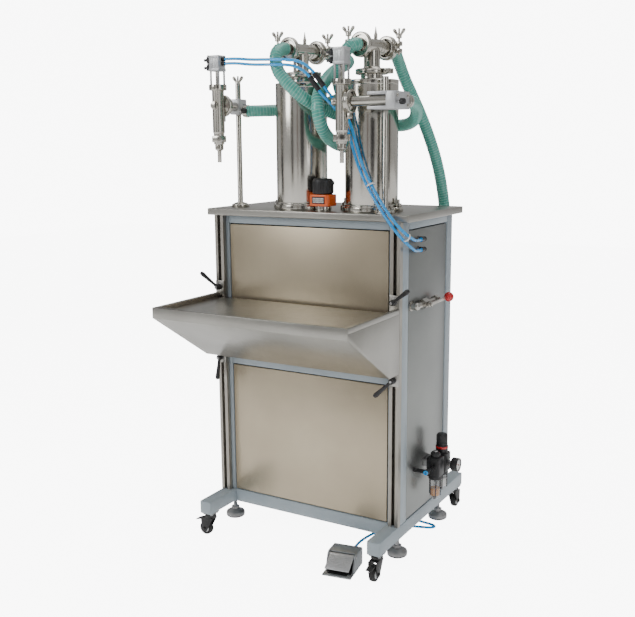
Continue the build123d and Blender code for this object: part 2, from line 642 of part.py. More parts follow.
def pedal_parts():
    place = Location((pedal_at[0], pedal_at[1], 0), (0, 0, pedal_turn))
    w, d = pedal_width, pedal_length
    base = block(0, w, 0, d, 0, 6)
    base += block(0, 5, 30, d, 6, 50) + block(w - 5, w, 30, d, 6, 50) + block(0, w, d - 5, d, 6, 50)
    base += block(0, w, 58, d, 46, 52)
    base += bar((5, 50, 42), (w - 5, 50, 42), 3)
    base += bar((w / 2, d, 18), (w / 2, d + 12, 18), 7)
    treadle = bar((6, 50, 42), (w - 6, 50, 42), 6)
    outline = Polyline((50, 48), (50, 43), (4, 19), (2, 23), close=True)
    treadle += Pos(6, 0, 0) * extrude(Plane.YZ * make_face(outline), w - 12)
    treadle -= bar((0, 50, 42), (w, 50, 42), 3 + running)
    save("pedal_base", place * base)
    save("pedal_treadle", place * treadle)


def route(name, points, radius, folds=None):
    """Tube along straight runs joined by tangent arcs; folds gives chosen radii by corner number."""
    corners = [Vector(*p) for p in points]
    radii = []
    for i in range(1, len(corners) - 1):
        a, b = corners[i] - corners[i - 1], corners[i + 1] - corners[i]
        half = math.radians(a.get_angle(b) / 2)
        radii.append((folds or {}).get(i, 0.45 * min(a.length, b.length) / math.tan(half)))
    path = FilletPolyline(*corners, radius=radii)
    start = Plane(origin=corners[0], z_dir=corners[1] - corners[0])
    solid = sweep(start * Circle(radius), path=path)
    expected = math.pi * radius * radius * path.length
    print(f"{name}: length {path.length:.0f}, radii {[round(r) for r in radii]}, volume ratio {solid.volume / expected:.4f}")
    save(name, solid)


def valve_end(cx, reach):
    return on_valve(cx, (0, reach, valve_z))


def collar_end(name, reach):
    """A point straight out from the hose collar on a stand's clamp."""
    spec = nozzles[name]
    if spec["rod"][1]:
        return on_station(name, spec["block"][0] + 13, spec["across"][1] + 8 + reach, arm_z)
    return on_station(name, spec["block"][0] + 30, -spec["across"][1] - 8 - reach, arm_z - 12)


# Product hoses, from the valve end to the far end.
front_exit, back_exit = -valve_front - 2 * ferrule_thickness, valve_back + 2 * ferrule_thickness
left_x, right_x = cylinder_x
hose_routes = {
    "hose_left_valve_to_right_nozzle": [
        valve_end(left_x, front_exit), valve_end(left_x, front_exit - 50), (-58, -220, 1362), (-26, -212, 1322),
        (4, -196, 1289), (28, -156, 1264), (50, -104, 1246), (72, -46, 1234), (110, 6, 1222), (168, 26, 1212),
        (224, 14, 1212), (268, -24, 1230), collar_end("right", 60), collar_end("right", 0),
    ],
    "hose_left_valve_suction": [
        valve_end(left_x, back_exit), valve_end(left_x, back_exit + 44), (-20, 66, 1414), (14, 62, 1400),
        (30, 22, 1386), (32, -40, 1370), (40, -104, 1346), (57, -188, 1302), (66, -215, 1250), (72, -200, 1204),
        (66, -150, 1175), (56, -84, 1160), (50, -12, 1152), (46, 60, 1146), (38, 130, 1132), (26, 188, 1096),
        (16, 222, 1030), (12, 236, 930), (8, 240, 780), (4, 238, 600), (-2, 240, 420), (-12, 242, 250),
        (-32, 240, 130), (-62, 232, 55), (-116, 222, 20), (-180, 214, 18), (-230, 226, 18),
    ],
    "hose_right_valve_to_left_nozzle": [
        valve_end(right_x, front_exit), valve_end(right_x, front_exit - 36), (118, -176, 1384), (92, -150, 1345),
        (75, -108, 1312), (56, -58, 1298), (24, -10, 1290), (-22, 20, 1282), (-74, 26, 1274), (-126, 4, 1266),
        (-164, -42, 1260), collar_end("left", 42), collar_end("left", 0),
    ],
    "hose_right_valve_suction": [
        valve_end(right_x, back_exit), valve_end(right_x, back_exit + 30), (176, 54, 1388), (184, 80, 1340),
        (198, 106, 1292), (213, 132, 1240), (227, 160, 1180), (240, 187, 1112), (249, 209, 1036), (254, 226, 950),
        (250, 236, 850), (242, 240, 720), (230, 238, 580), (218, 240, 420), (208, 242, 270), (202, 250, 150),
        (188, 262, 64), (150, 276, 22), (90, 284, 18), (30, 276, 18),
    ],
}

# Air tubes, from the left nozzle to the unions, from the unions to the cabinet, and from the pedal.
air_z = nozzle_top - air_block_height
left_port_x, left_port_y = nozzles["left"]["at"][0] + air_block / 2 + 10, nozzles["left"]["at"][1]
panel_port_x, panel_port_y = side_face + 18, -92
union_a, union_b = ((60, -216, 1345), (84, -208, 1311)), ((48, -219, 1335), (72, -213, 1301))


def beyond(union, first, reach):
    """A point past one end of a union, on its own axis."""
    near, far = (union[0], union[1]) if first else (union[1], union[0])
    step = (Vector(*near) - Vector(*far)).normalized() * reach
    return (near[0] + step.X, near[1] + step.Y, near[2] + step.Z)


air_routes = {
    "air_tube_nozzle_upper": [
        (left_port_x, left_port_y, air_z + 32), (-188, -222, air_z + 32), (-133, -234, 1388), (-60, -246, 1384),
        (4, -240, 1381), (32, -229, 1373), beyond(union_a, True, 14), union_a[0],
    ],
    "air_tube_nozzle_lower": [
        (left_port_x, left_port_y, air_z + 20), (-188, -222, air_z + 20), (-133, -232, 1375), (-60, -244, 1371),
        (-8, -238, 1369), (18, -232, 1362), beyond(union_b, True, 14), union_b[0],
    ],
    "air_tube_cabinet_upper": [
        union_a[1], beyond(union_a, False, 16), (107, -187, 1273), (130, -180, 1244), (149, -180, 1214), (163, -180, 1168),
        (184, -185, 1110), (217, -193, 1055), (258, -208, 1004), (300, -217, 958), (328, -208, 930),
        (side_face + 32, -166, 914), (panel_port_x, -126, 908), (panel_port_x, panel_port_y, 908),
    ],
    "air_tube_cabinet_lower": [
        union_b[1], beyond(union_b, False, 16), (101, -191, 1262), (119, -180, 1236), (138, -180, 1206), (152, -180, 1162),
        (173, -185, 1104), (207, -193, 1048), (249, -208, 996), (292, -219, 949), (320, -212, 916),
        (side_face + 30, -168, 890), (panel_port_x, -126, 880), (panel_port_x, panel_port_y, 880),
    ],
    "air_tube_pedal": [
        on_pedal(pedal_width / 2, pedal_length + 12, 18), on_pedal(pedal_width / 2, pedal_length + 38, 18),
        (144, -146, 4.5), (138, -96, 4.5), (150, -24, 4.5), (182, 40, 4.5), (220, 66, 4.5), (256, 77, 4.5),
        (284, 87, 4.5), (293, 101, 4.5), (277, 111, 4.5), (246, 113, 4.5), (210, 121, 4.5), (176, 127, 6), (157, 124, 24),
        (pedal_port_x, inner_port_y, 50), (pedal_port_x, inner_port_y, rail_bottom + tube / 2 - 17),
    ],
}

if __name__ == "__main__":
    frame_parts()
    panel_parts()
    table_part()
    channel_parts()
    tray_part()
    lever_parts()
    caster_parts()
    foot_parts()
    cylinder_parts()
    drive_parts()
    side_parts(nozzle_parts() + [bar(a, b, 7) for a, b in (union_a, union_b)])
    pedal_parts()
    for hose_name, hose_points in hose_routes.items():
        route(hose_name, hose_points, hose_r, {1: 25.0})
    for tube_name, tube_points in air_routes.items():
        route(tube_name, tube_points, tube_r)
    write_parts()
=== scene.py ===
import math
from types import SimpleNamespace as Sizes

import bmesh
import bpy
from mathutils import Matrix, Vector


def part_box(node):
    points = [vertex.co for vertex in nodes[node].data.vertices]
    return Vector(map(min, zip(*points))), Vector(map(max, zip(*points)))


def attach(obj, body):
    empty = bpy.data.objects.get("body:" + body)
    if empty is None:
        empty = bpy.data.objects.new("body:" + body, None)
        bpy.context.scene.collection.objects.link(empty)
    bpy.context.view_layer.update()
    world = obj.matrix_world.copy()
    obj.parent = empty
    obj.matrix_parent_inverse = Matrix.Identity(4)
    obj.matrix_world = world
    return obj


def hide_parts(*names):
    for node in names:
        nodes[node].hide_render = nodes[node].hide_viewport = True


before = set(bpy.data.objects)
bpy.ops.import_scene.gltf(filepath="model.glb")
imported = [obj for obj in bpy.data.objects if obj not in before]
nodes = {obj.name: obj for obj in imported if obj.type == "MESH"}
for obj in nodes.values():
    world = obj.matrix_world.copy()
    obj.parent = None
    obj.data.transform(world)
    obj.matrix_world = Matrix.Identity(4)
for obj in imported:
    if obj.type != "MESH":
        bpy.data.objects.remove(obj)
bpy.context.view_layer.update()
cabinetLow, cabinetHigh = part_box("cabinet_frame")
midX = (cabinetLow.x + cabinetHigh.x) / 2
midY = (cabinetLow.y + cabinetHigh.y) / 2
toRow = Matrix.Translation((midX, midY, 0)) @ Matrix.Scale(0.001, 4)
fixedBody = "filler"


def rowPoint(p):
    return toRow @ Vector(p)


def added(name, data):
    """A new object in the scene that shows this data."""
    piece = bpy.data.objects.new(name, data)
    bpy.context.scene.collection.objects.link(piece)
    return piece


def soften(part, edges, offset, rows=2):
    bmesh.ops.bevel(part, geom=edges, offset=offset, offset_type="OFFSET", segments=rows, profile=0.5,
                    affect="EDGES", material=-1)


def block(x0, x1, y0, y1, z0, z1):
    """Matrix that makes a unit cube into this box."""
    middle = Matrix.Translation(((x0 + x1) / 2, (y0 + y1) / 2, (z0 + z1) / 2))
    return middle @ Matrix.Diagonal((x1 - x0, y1 - y0, z1 - z0, 1))


def aimed(start, end, origin):
    """Matrix that puts Z on the line from start to end, at the origin given."""
    return Matrix.Translation(origin) @ (end - start).to_track_quat("Z", "Y").to_matrix().to_4x4()


def ring(inner, outer, low, high):
    """Outline of a plain ring, or of a disc where inner is 0."""
    return [(inner, low), (outer, low), (outer, high), (inner, high)]


def onCircle(x, y, radius, step, steps):
    angle = math.tau * step / steps
    return x + radius * math.cos(angle), y + radius * math.sin(angle)


# ---------------------------------------------------------------- camera
def makeCamera():
    spec = Sizes(spot=(1276.3, -2282.1, 1164.3), right=(0.86323, 0.50481, -0.00708),
                up=(-0.08647, 0.16164, 0.98308), forward=(-0.49739, 0.84797, -0.18318), lens=50.25)
    data = bpy.data.cameras.new("camera")
    data.lens = spec.lens
    data.sensor_width = 36.0
    data.clip_end = 60.0
    camera = added("camera", data)
    columns = [Vector(spec.right), Vector(spec.up), -Vector(spec.forward)]
    turn = Matrix([[c[i] for c in columns] for i in range(3)]).to_4x4()
    camera.matrix_world = Matrix.Translation(rowPoint(spec.spot)) @ turn
    bpy.context.scene.camera = camera


# ---------------------------------------------------------------- materials
def colourGroup(name, colour, worn, scale, stretch, variation, grain):
    """Node group: a slow blotch between two colours, and a fine grain for roughness and height."""
    group = bpy.data.node_groups.new(name, "ShaderNodeTree")
    for label, kind in (("Color", "NodeSocketColor"), ("Mask", "NodeSocketFloat"), ("Grain", "NodeSocketFloat")):
        group.interface.new_socket(label, in_out="OUTPUT", socket_type=kind)
    add = group.nodes.new
    out, coord, mapping = add("NodeGroupOutput"), add("ShaderNodeTexCoord"), add("ShaderNodeMapping")
    mapping.inputs["Scale"].default_value = stretch
    blotch, fine = add("ShaderNodeTexNoise"), add("ShaderNodeTexNoise")
    blotch.inputs["Scale"].default_value = scale
    blotch.inputs["Detail"].default_value = 4.0
    fine.inputs["Scale"].default_value = grain
    fine.inputs["Detail"].default_value = 3.0
    ramp, mix = add("ShaderNodeMapRange"), add("ShaderNodeMix")
    mix.data_type = "RGBA"
    ramp.inputs["From Min"].default_value = 0.35
    ramp.inputs["From Max"].default_value = 0.72
    ramp.inputs["To Max"].default_value = variation
    mix.inputs[6].default_value = (*colour, 1)
    mix.inputs[7].default_value = (*worn, 1)
    link = group.links.new
    link(coord.outputs["Object"], blotch.inputs["Vector"])
    link(coord.outputs["Object"], mapping.inputs["Vector"])
    link(mapping.outputs["Vector"], fine.inputs["Vector"])
    link(blotch.outputs["Fac"], ramp.inputs["Value"])
    link(ramp.outputs["Result"], mix.inputs[0])
    link(mix.outputs[2], out.inputs["Color"])
    link(ramp.outputs["Result"], out.inputs["Mask"])
    link(fine.outputs["Fac"], out.inputs["Grain"])
    return group


def surface(name, colour, worn=None, rough=(0.35, 0.5), metal=0.0, scale=9.0, stretch=(1, 1, 1), grain=900.0,
            variation=0.6, bump=0.0, coat=0.0, alpha=1.0, anisotropic=0.0, glow=0.0):
    worn = worn or tuple(c * 0.86 for c in colour)
    material = bpy.data.materials.new(name)
    material.use_nodes = True
    tree = material.node_tree
    shader = tree.nodes["Principled BSDF"]
    look = tree.nodes.new("ShaderNodeGroup")
    look.node_tree = colourGroup(name + "Look", colour, worn, scale, stretch, variation, grain)
    spread = tree.nodes.new("ShaderNodeMapRange")
    spread.inputs["To Min"].default_value, spread.inputs["To Max"].default_value = rough
    tree.links.new(look.outputs["Color"], shader.inputs["Base Color"])
    tree.links.new(look.outputs["Grain"], spread.inputs["Value"])
    tree.links.new(spread.outputs["Result"], shader.inputs["Roughness"])
    if bump:
        relief = tree.nodes.new("ShaderNodeBump")
        relief.inputs["Strength"].default_value = bump
        relief.inputs["Distance"].default_value = 0.0004
        tree.links.new(look.outputs["Grain"], relief.inputs["Height"])
        tree.links.new(relief.outputs["Normal"], shader.inputs["Normal"])
    shader.inputs["Metallic"].default_value = metal
    shader.inputs["Coat Weight"].default_value = coat
    shader.inputs["Alpha"].default_value = alpha
    shader.inputs["Anisotropic"].default_value = anisotropic
    if glow:
        shader.inputs["Emission Color"].default_value = (*colour, 1)
        shader.inputs["Emission Strength"].default_value = glow
    return material


paint = surface("framePaint", (0.36, 0.42, 0.46), (0.29, 0.35, 0.39), (0.34, 0.46), coat=0.2, bump=0.06)
satinSteel = surface("satinSteel", (0.42, 0.41, 0.38), (0.28, 0.27, 0.24), (0.26, 0.42), 1.0, scale=6,
                     stretch=(1.5, 1.5, 90), grain=40, bump=0.05)
# One sheet steel in two copies: the front copy is painted brighter and warmer as painted light, the side copy darker
# and cooler as painted shade where the side panels reflect the dark room.
frontSteelPaintedLight = surface("frontSteelPaintedLight", (0.58, 0.50, 0.37), (0.30, 0.25, 0.17), (0.28, 0.42), 0.8, scale=2.4,
                     stretch=(80, 80, 2), grain=30, bump=0.04)
sideSteelPaintedShade = surface("sideSteelPaintedShade", (0.30, 0.31, 0.30), (0.20, 0.21, 0.21), (0.28, 0.42), 0.85, scale=3.5,
                    stretch=(80, 80, 2), grain=30, bump=0.04)
channelSteel = surface("channelSteel", (0.40, 0.38, 0.34), (0.26, 0.24, 0.21), (0.28, 0.42), 1.0, scale=12)
polished = surface("polishedSteel", (0.56, 0.54, 0.49), (0.40, 0.38, 0.33), (0.13, 0.22), 1.0, variation=0.5)
brightZinc = surface("brightZinc", (0.50, 0.50, 0.50), (0.36, 0.36, 0.37), (0.25, 0.42), 1.0, scale=30)
aluminium = surface("aluminium", (0.58, 0.59, 0.60), (0.46, 0.47, 0.48), (0.36, 0.48), 0.6, bump=0.05)
castZinc = surface("castZinc", (0.34, 0.36, 0.37), (0.24, 0.26, 0.27), (0.36, 0.5), 0.6, bump=0.10)
nickel = surface("nickel", (0.52, 0.50, 0.46), (0.38, 0.36, 0.32), (0.18, 0.32), 1.0, scale=40)
blackPlastic = surface("blackPlastic", (0.012, 0.012, 0.013), (0.028, 0.028, 0.030), (0.30, 0.48), bump=0.10)
rubber = surface("rubber", (0.012, 0.012, 0.012), (0.035, 0.034, 0.032), (0.55, 0.75), bump=0.2)
orange = surface("orangePlastic", (0.80, 0.12, 0.01), (0.64, 0.08, 0.005), (0.26, 0.36), coat=0.4)
red = surface("redPlastic", (0.66, 0.01, 0.015), (0.5, 0.008, 0.01), (0.20, 0.30), coat=0.5)
blue = surface("blueTube", (0.01, 0.38, 0.86), (0.01, 0.28, 0.70), (0.18, 0.28), coat=0.4)
hoseSkin = surface("hoseSkin", (0.10, 0.42, 0.34), (0.05, 0.30, 0.25), (0.14, 0.24), scale=22, coat=0.5)
hoseRib = surface("hoseRib", (0.26, 0.60, 0.50), (0.16, 0.48, 0.40), (0.16, 0.26), coat=0.5)
ironGrey = surface("ironGrey", (0.34, 0.34, 0.34), (0.20, 0.20, 0.20), (0.34, 0.5), 0.7, bump=0.2)
# Near-black used both as the real colour of dial print and the counter window and as painted shade in gaps, hollows and
# holes.
darkPrintAndPaintedShade = surface("darkPrintAndPaintedShade", (0.010, 0.010, 0.011), (0.02, 0.02, 0.02), (0.6, 0.8))
whitePlastic = surface("whitePlastic", (0.82, 0.82, 0.80), (0.72, 0.72, 0.70), (0.30, 0.4))
clearBowl = surface("clearBowl", (0.80, 0.82, 0.83), (0.70, 0.73, 0.75), (0.05, 0.10), alpha=0.20, coat=0.5)
amberOil = surface("amberOil", (0.62, 0.24, 0.02), (0.5, 0.17, 0.01), (0.12, 0.2), coat=0.5)


# ---------------------------------------------------------------- shaping
def easedLine(points, cut):
    """The same profile with each inner corner rounded by three points."""
    line = [Vector(p) for p in points]
    out = [line[0]]
    for a, b, c in zip(line, line[1:], line[2:]):
        u, v = a - b, c - b
        reach = min(cut, u.length * 0.45, v.length * 0.45)
        if reach < 0.05:
            out.append(b)
            continue
        p, q = b + u.normalized() * reach, b + v.normalized() * reach
        out += [p, (p + q) / 4 + b / 2, q]
    return out + [line[-1]]


def smoothLine(points, steps):
    """Points on the clamped quadratic spline that a third-order NURBS curve with these control points follows."""
    p = [Vector(q) for q in points]
    out = [p[0]]
    start = p[0]
    for i in range(1, len(p) - 1):
        end = p[-1] if i == len(p) - 2 else (p[i] + p[i + 1]) / 2
        count = max(2, int(((p[i] - start).length + (end - p[i]).length) / steps))
        for k in range(1, count + 1):
            t = k / count
            out.append(start * (1 - t) ** 2 + p[i] * 2 * t * (1 - t) + end * t * t)
        start = end
    return out


class Shape:
    """One piece under construction, in millimetres. What has no turn of its own is turned by its place."""

    def __init__(self, name, *materials, place=None):
        self.name = name
        self.materials = materials
        self.place = place
        self.bm = bmesh.new()

    def keep(self, part, turn=None, mat=0):
        turn = turn or self.place
        if turn:
            part.transform(turn)
        bmesh.ops.recalc_face_normals(part, faces=part.faces)
        for face in part.faces:
            face.material_index = mat
        mesh = bpy.data.meshes.new("scrap")
        part.to_mesh(mesh)
        part.free()
        self.bm.from_mesh(mesh)
        bpy.data.meshes.remove(mesh)
        return self

    def box(self, x0, x1, y0, y1, z0, z1, soft=1.0, turn=None, mat=0, rows=2):
        part = bmesh.new()
        bmesh.ops.create_cube(part, size=1, matrix=block(x0, x1, y0, y1, z0, z1))
        soft = min(soft, 0.45 * min(x1 - x0, y1 - y0, z1 - z0))
        if soft > 0:
            soften(part, part.edges[:], soft, rows)
        return self.keep(part, turn, mat)

    def post(self, x, y, outline, turn=None, mat=0, cut=1.0, steps=40):
        """Solid of revolution about a vertical line; outline is (radius, height) pairs."""
        part = bmesh.new()
        line = easedLine(outline, cut) if cut else [Vector(p) for p in outline]
        verts = [part.verts.new((r, 0, z)) for r, z in line]
        edges = [part.edges.new(pair) for pair in zip(verts, verts[1:])]
        bmesh.ops.spin(part, geom=verts + edges, cent=(0, 0, 0), axis=(0, 0, 1), dvec=(0, 0, 0),
                       angle=math.tau, steps=steps, use_merge=True, use_duplicate=False)
        bmesh.ops.remove_doubles(part, verts=part.verts, dist=0.001)
        move, turn = Matrix.Translation((x, y, 0)), turn or self.place
        return self.keep(part, turn @ move if turn else move, mat)

    def along(self, start, end, outline, turn=None, mat=0, cut=0.8, steps=32):
        """Solid of revolution on the line from start to end; outline is (radius, distance) pairs."""
        a, b = Vector(start), Vector(end)
        aim, turn = aimed(a, b, a), turn or self.place
        return self.post(0, 0, outline, turn @ aim if turn else aim, mat, cut, steps)

    def bar(self, start, end, radius, turn=None, mat=0, cut=0.8, steps=28):
        length = (Vector(end) - Vector(start)).length
        return self.along(start, end, ring(0, radius, 0, length), turn, mat, cut, steps)

    def ball(self, center, radius, turn=None, mat=0):
        part = bmesh.new()
        bmesh.ops.create_uvsphere(part, u_segments=28, v_segments=16, radius=radius,
                                  matrix=Matrix.Translation(center))
        return self.keep(part, turn, mat)

    def nut(self, start, end, flats, turn=None, mat=0, soft=0.8):
        a, b = Vector(start), Vector(end)
        part = bmesh.new()
        radius = flats / 2 / math.cos(math.pi / 6)
        bmesh.ops.create_cone(part, cap_ends=True, segments=6, radius1=radius, radius2=radius,
                              depth=(b - a).length, matrix=aimed(a, b, (a + b) / 2))
        soften(part, part.edges[:], soft)
        return self.keep(part, turn, mat)

    def slab(self, outline, push, soft=0.8, turn=None, mat=0):
        """A flat outline pushed along a vector into a plate."""
        part = bmesh.new()
        face = part.faces.new([part.verts.new(p) for p in outline])
        made = bmesh.ops.extrude_face_region(part, geom=[face])
        bmesh.ops.translate(part, vec=push, verts=[g for g in made["geom"] if isinstance(g, bmesh.types.BMVert)])
        if soft:
            soften(part, part.edges[:], soft)
        return self.keep(part, turn, mat)

    def rod(self, points, radius, sides=10, mat=0, ends=True):
        """Round bar along a line of points, its section carried without twist."""
        part = bmesh.new()
        line = [Vector(p) for p in points]
        side = (line[1] - line[0]).orthogonal().normalized()
        loops = []
        for i, p in enumerate(line):
            ahead = (line[min(i + 1, len(line) - 1)] - line[max(i - 1, 0)]).normalized()
            side = (side - ahead * side.dot(ahead)).normalized()
            other = ahead.cross(side)
            loops.append([part.verts.new(p + (side * math.cos(a) + other * math.sin(a)) * radius)
                          for a in (math.tau * k / sides for k in range(sides))])
        for near, far in zip(loops, loops[1:]):
            for k in range(sides):
                part.faces.new((near[k], near[(k + 1) % sides], far[(k + 1) % sides], far[k]))
        if ends:
            part.faces.new(loops[0][::-1])
            part.faces.new(loops[-1])
        return self.keep(part, None, mat)

    def done(self, slot, *replaced, body=fixedBody, sharp=38):
        self.bm.transform(toRow)
        for edge in self.bm.edges:
            if len(edge.link_faces) == 2:
                edge.smooth = edge.calc_face_angle(0) < math.radians(sharp)
        for face in self.bm.faces:
            face.smooth = True
        mesh = bpy.data.meshes.new(self.name)
        self.bm.to_mesh(mesh)
        self.bm.free()
        for material in self.materials:
            mesh.materials.append(material)
        piece = added(self.name, mesh)
        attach(piece, body)
        if replaced:
            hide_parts(*replaced)
        return piece


def carry(material, *names):
    """CAD nodes that are shown as they are, in this finish."""
    for name in names:
        for holder in nodes[name].material_slots:
            holder.link = "OBJECT"
            holder.material = material


def turned(x, y, degrees):
    return Matrix.Translation((x, y, 0)) @ Matrix.Rotation(math.radians(degrees), 4, "Z")


valve = Sizes(z=1418.0, turn=-6.0, front=54.0, back=74.0, r=19.0, ferrule=25.5, clamp=33.0, column=(-56.0, 166.0),
             y=-92.0)
stands = {
    "left": Sizes(at=(-250.0, -222.0), turn=96.0, block=(92.0, 138.0), across=(-15.0, 15.0), rod=(115.0, 0.0)),
    "right": Sizes(at=(145.0, -222.0), turn=0.0, block=(134.0, 160.0), across=(-18.0, 72.0), rod=(98.0, 57.0)),
}
armZ = 1270.0


def onValve(column, reach, side=0.0):
    return tuple(turned(column, valve.y, valve.turn) @ Vector((side, reach, valve.z)))


def onStand(name, along, across, z):
    spec = stands[name]
    return tuple(turned(*spec.at, spec.turn) @ Vector((along, across, z)))


# ---------------------------------------------------------------- hoses and tubes
hoseRadius, hoseAcross = 16.6, 0.034
tubeRadius, tubeAcross = 4.0, 0.008


def cordLine(name, points, radius, material, node):
    data = bpy.data.curves.new(name, "CURVE")
    data.dimensions = "3D"
    data.resolution_u = 12
    data.bevel_depth = radius / 1000
    data.bevel_resolution = 7
    data.use_fill_caps = True
    spline = data.splines.new("NURBS")
    spline.points.add(len(points) - 1)
    for target, point in zip(spline.points, points):
        target.co = (*rowPoint(point), 1)
    spline.order_u = 3
    spline.use_endpoint_u = True
    data.materials.append(material)
    piece = added(name, data)
    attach(piece, fixedBody)
    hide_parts(node)


def hoseSpiral(name, points):
    """The wound rib that stands a little proud of the hose's skin."""
    spec = Sizes(radius=hoseRadius, wire=1.0, pitch=7.5, perTurn=14, bare=10)
    line = smoothLine(points, spec.pitch / spec.perTurn)
    side = (line[1] - line[0]).orthogonal().normalized()
    path, run = [], 0.0
    for i, p in enumerate(line):
        ahead = (line[min(i + 1, len(line) - 1)] - line[max(i - 1, 0)]).normalized()
        side = (side - ahead * side.dot(ahead)).normalized()
        run += (p - line[i - 1]).length if i else 0.0
        angle = math.tau * run / spec.pitch
        path.append(p + (side * math.cos(angle) + ahead.cross(side) * math.sin(angle)) * spec.radius)
    shape = Shape(name, hoseRib)
    shape.rod(path[spec.bare:-spec.bare], spec.wire, sides=4)
    return shape.done("hose_pvc", sharp=180)


hoseRoutes = {
    "hoseLeftValveToRightNozzle": Sizes(
        node="hose_left_valve_to_right_nozzle", end="object",
        line=[onValve(-56, -62), onValve(-56, -112), (-58, -220, 1362), (-26, -212, 1322), (4, -196, 1289),
              (28, -156, 1264), (50, -104, 1246), (72, -46, 1234), (110, 6, 1222), (168, 26, 1212), (224, 14, 1212),
              (268, -24, 1230), onStand("right", 147, 140, armZ), onStand("right", 147, 80, armZ)]),
    "hoseLeftValveSuction": Sizes(
        node="hose_left_valve_suction", end="bare",
        line=[onValve(-56, 82), onValve(-56, 126), (-20, 66, 1414), (14, 62, 1400), (30, 22, 1386), (32, -40, 1370),
              (40, -104, 1346), (57, -188, 1302), (66, -215, 1250), (72, -200, 1204), (66, -150, 1175),
              (56, -84, 1160), (50, -12, 1152), (46, 60, 1146), (38, 130, 1132), (26, 188, 1096),
              (16, 222, 1030), (12, 236, 930), (8, 240, 780), (4, 238, 600), (-2, 240, 420),
              (-12, 242, 250), (-32, 240, 130), (-62, 232, 55), (-116, 222, 20), (-180, 214, 18), (-230, 226, 18)]),
    "hoseRightValveToLeftNozzle": Sizes(
        node="hose_right_valve_to_left_nozzle", end="object",
        line=[onValve(166, -62), onValve(166, -98), (118, -176, 1384), (92, -150, 1345), (75, -108, 1312),
              (56, -58, 1298), (24, -10, 1290), (-22, 20, 1282), (-74, 26, 1274), (-126, 4, 1266), (-164, -42, 1260),
              onStand("left", 122, -65, armZ - 12), onStand("left", 122, -23, armZ - 12)]),
    "hoseRightValveSuction": Sizes(
        node="hose_right_valve_suction", end="bare",
        line=[onValve(166, 82), onValve(166, 112), (176, 54, 1388), (184, 80, 1340), (198, 106, 1292),
              (213, 132, 1240), (227, 160, 1180), (240, 187, 1112), (249, 209, 1036), (254, 226, 950),
              (250, 236, 850), (242, 240, 720), (230, 238, 580), (218, 240, 420), (208, 242, 270), (202, 250, 150),
              (188, 262, 64), (150, 276, 22), (90, 284, 18), (30, 276, 18)]),
}
unionA = (Vector((60, -216, 1345)), Vector((84, -208, 1311)))
unionB = (Vector((48, -219, 1335)), Vector((72, -213, 1301)))


def beyond(union, first, reach):
    near, far = union if first else union[::-1]
    return tuple(near + (near - far).normalized() * reach)


pedalTurn = turned(141.0, -335.0, 9.5)
airRoutes = {
    "airTubeNozzleUpper": Sizes(
        node="air_tube_nozzle_upper", lay="hanging",
        line=[(-222.5, -222, 1395), (-188, -222, 1395), (-133, -234, 1388), (-60, -246, 1384), (4, -240, 1381),
              (32, -229, 1373), beyond(unionA, True, 14), tuple(unionA[0])]),
    "airTubeNozzleLower": Sizes(
        node="air_tube_nozzle_lower", lay="hanging",
        line=[(-222.5, -222, 1383), (-188, -222, 1383), (-133, -232, 1375), (-60, -244, 1371), (-8, -238, 1369),
              (18, -232, 1362), beyond(unionB, True, 14), tuple(unionB[0])]),
    "airTubeCabinetUpper": Sizes(
        node="air_tube_cabinet_upper", lay="hanging",
        line=[tuple(unionA[1]), beyond(unionA, False, 16), (107, -187, 1273), (130, -180, 1244), (149, -180, 1214),
              (163, -180, 1168), (184, -185, 1110), (217, -193, 1055), (258, -208, 1004), (300, -217, 958),
              (328, -208, 930), (330, -166, 914), (316, -126, 908), (316, -92, 908)]),
    "airTubeCabinetLower": Sizes(
        node="air_tube_cabinet_lower", lay="hanging",
        line=[tuple(unionB[1]), beyond(unionB, False, 16), (101, -191, 1262), (119, -180, 1236), (138, -180, 1206),
              (152, -180, 1162), (173, -185, 1104), (207, -193, 1048), (249, -208, 996), (292, -219, 949),
              (320, -212, 916), (328, -168, 890), (316, -126, 880), (316, -92, 880)]),
    "airTubePedal": Sizes(
        node="air_tube_pedal", lay="loose",
        line=[tuple(pedalTurn @ Vector((42, 118, 18))), tuple(pedalTurn @ Vector((42, 144, 18))), (144, -146, 4.5),
              (138, -96, 4.5), (150, -24, 4.5), (182, 40, 4.5), (220, 66, 4.5), (256, 77, 4.5), (284, 87, 4.5),
              (293, 101, 4.5), (277, 111, 4.5), (246, 113, 4.5), (210, 121, 4.5), (176, 127, 6), (157, 124, 24),
              (150, 122, 50), (150, 122, 78)]),
}


def makeCords():
    for name, spec in hoseRoutes.items():
        spiral = hoseSpiral(name + "Spiral", spec.line)
        cordLine(name, spec.line, hoseRadius, hoseSkin, spec.node)
    for name, spec in airRoutes.items():
        cordLine(name, spec.line, tubeRadius, blue, spec.node)


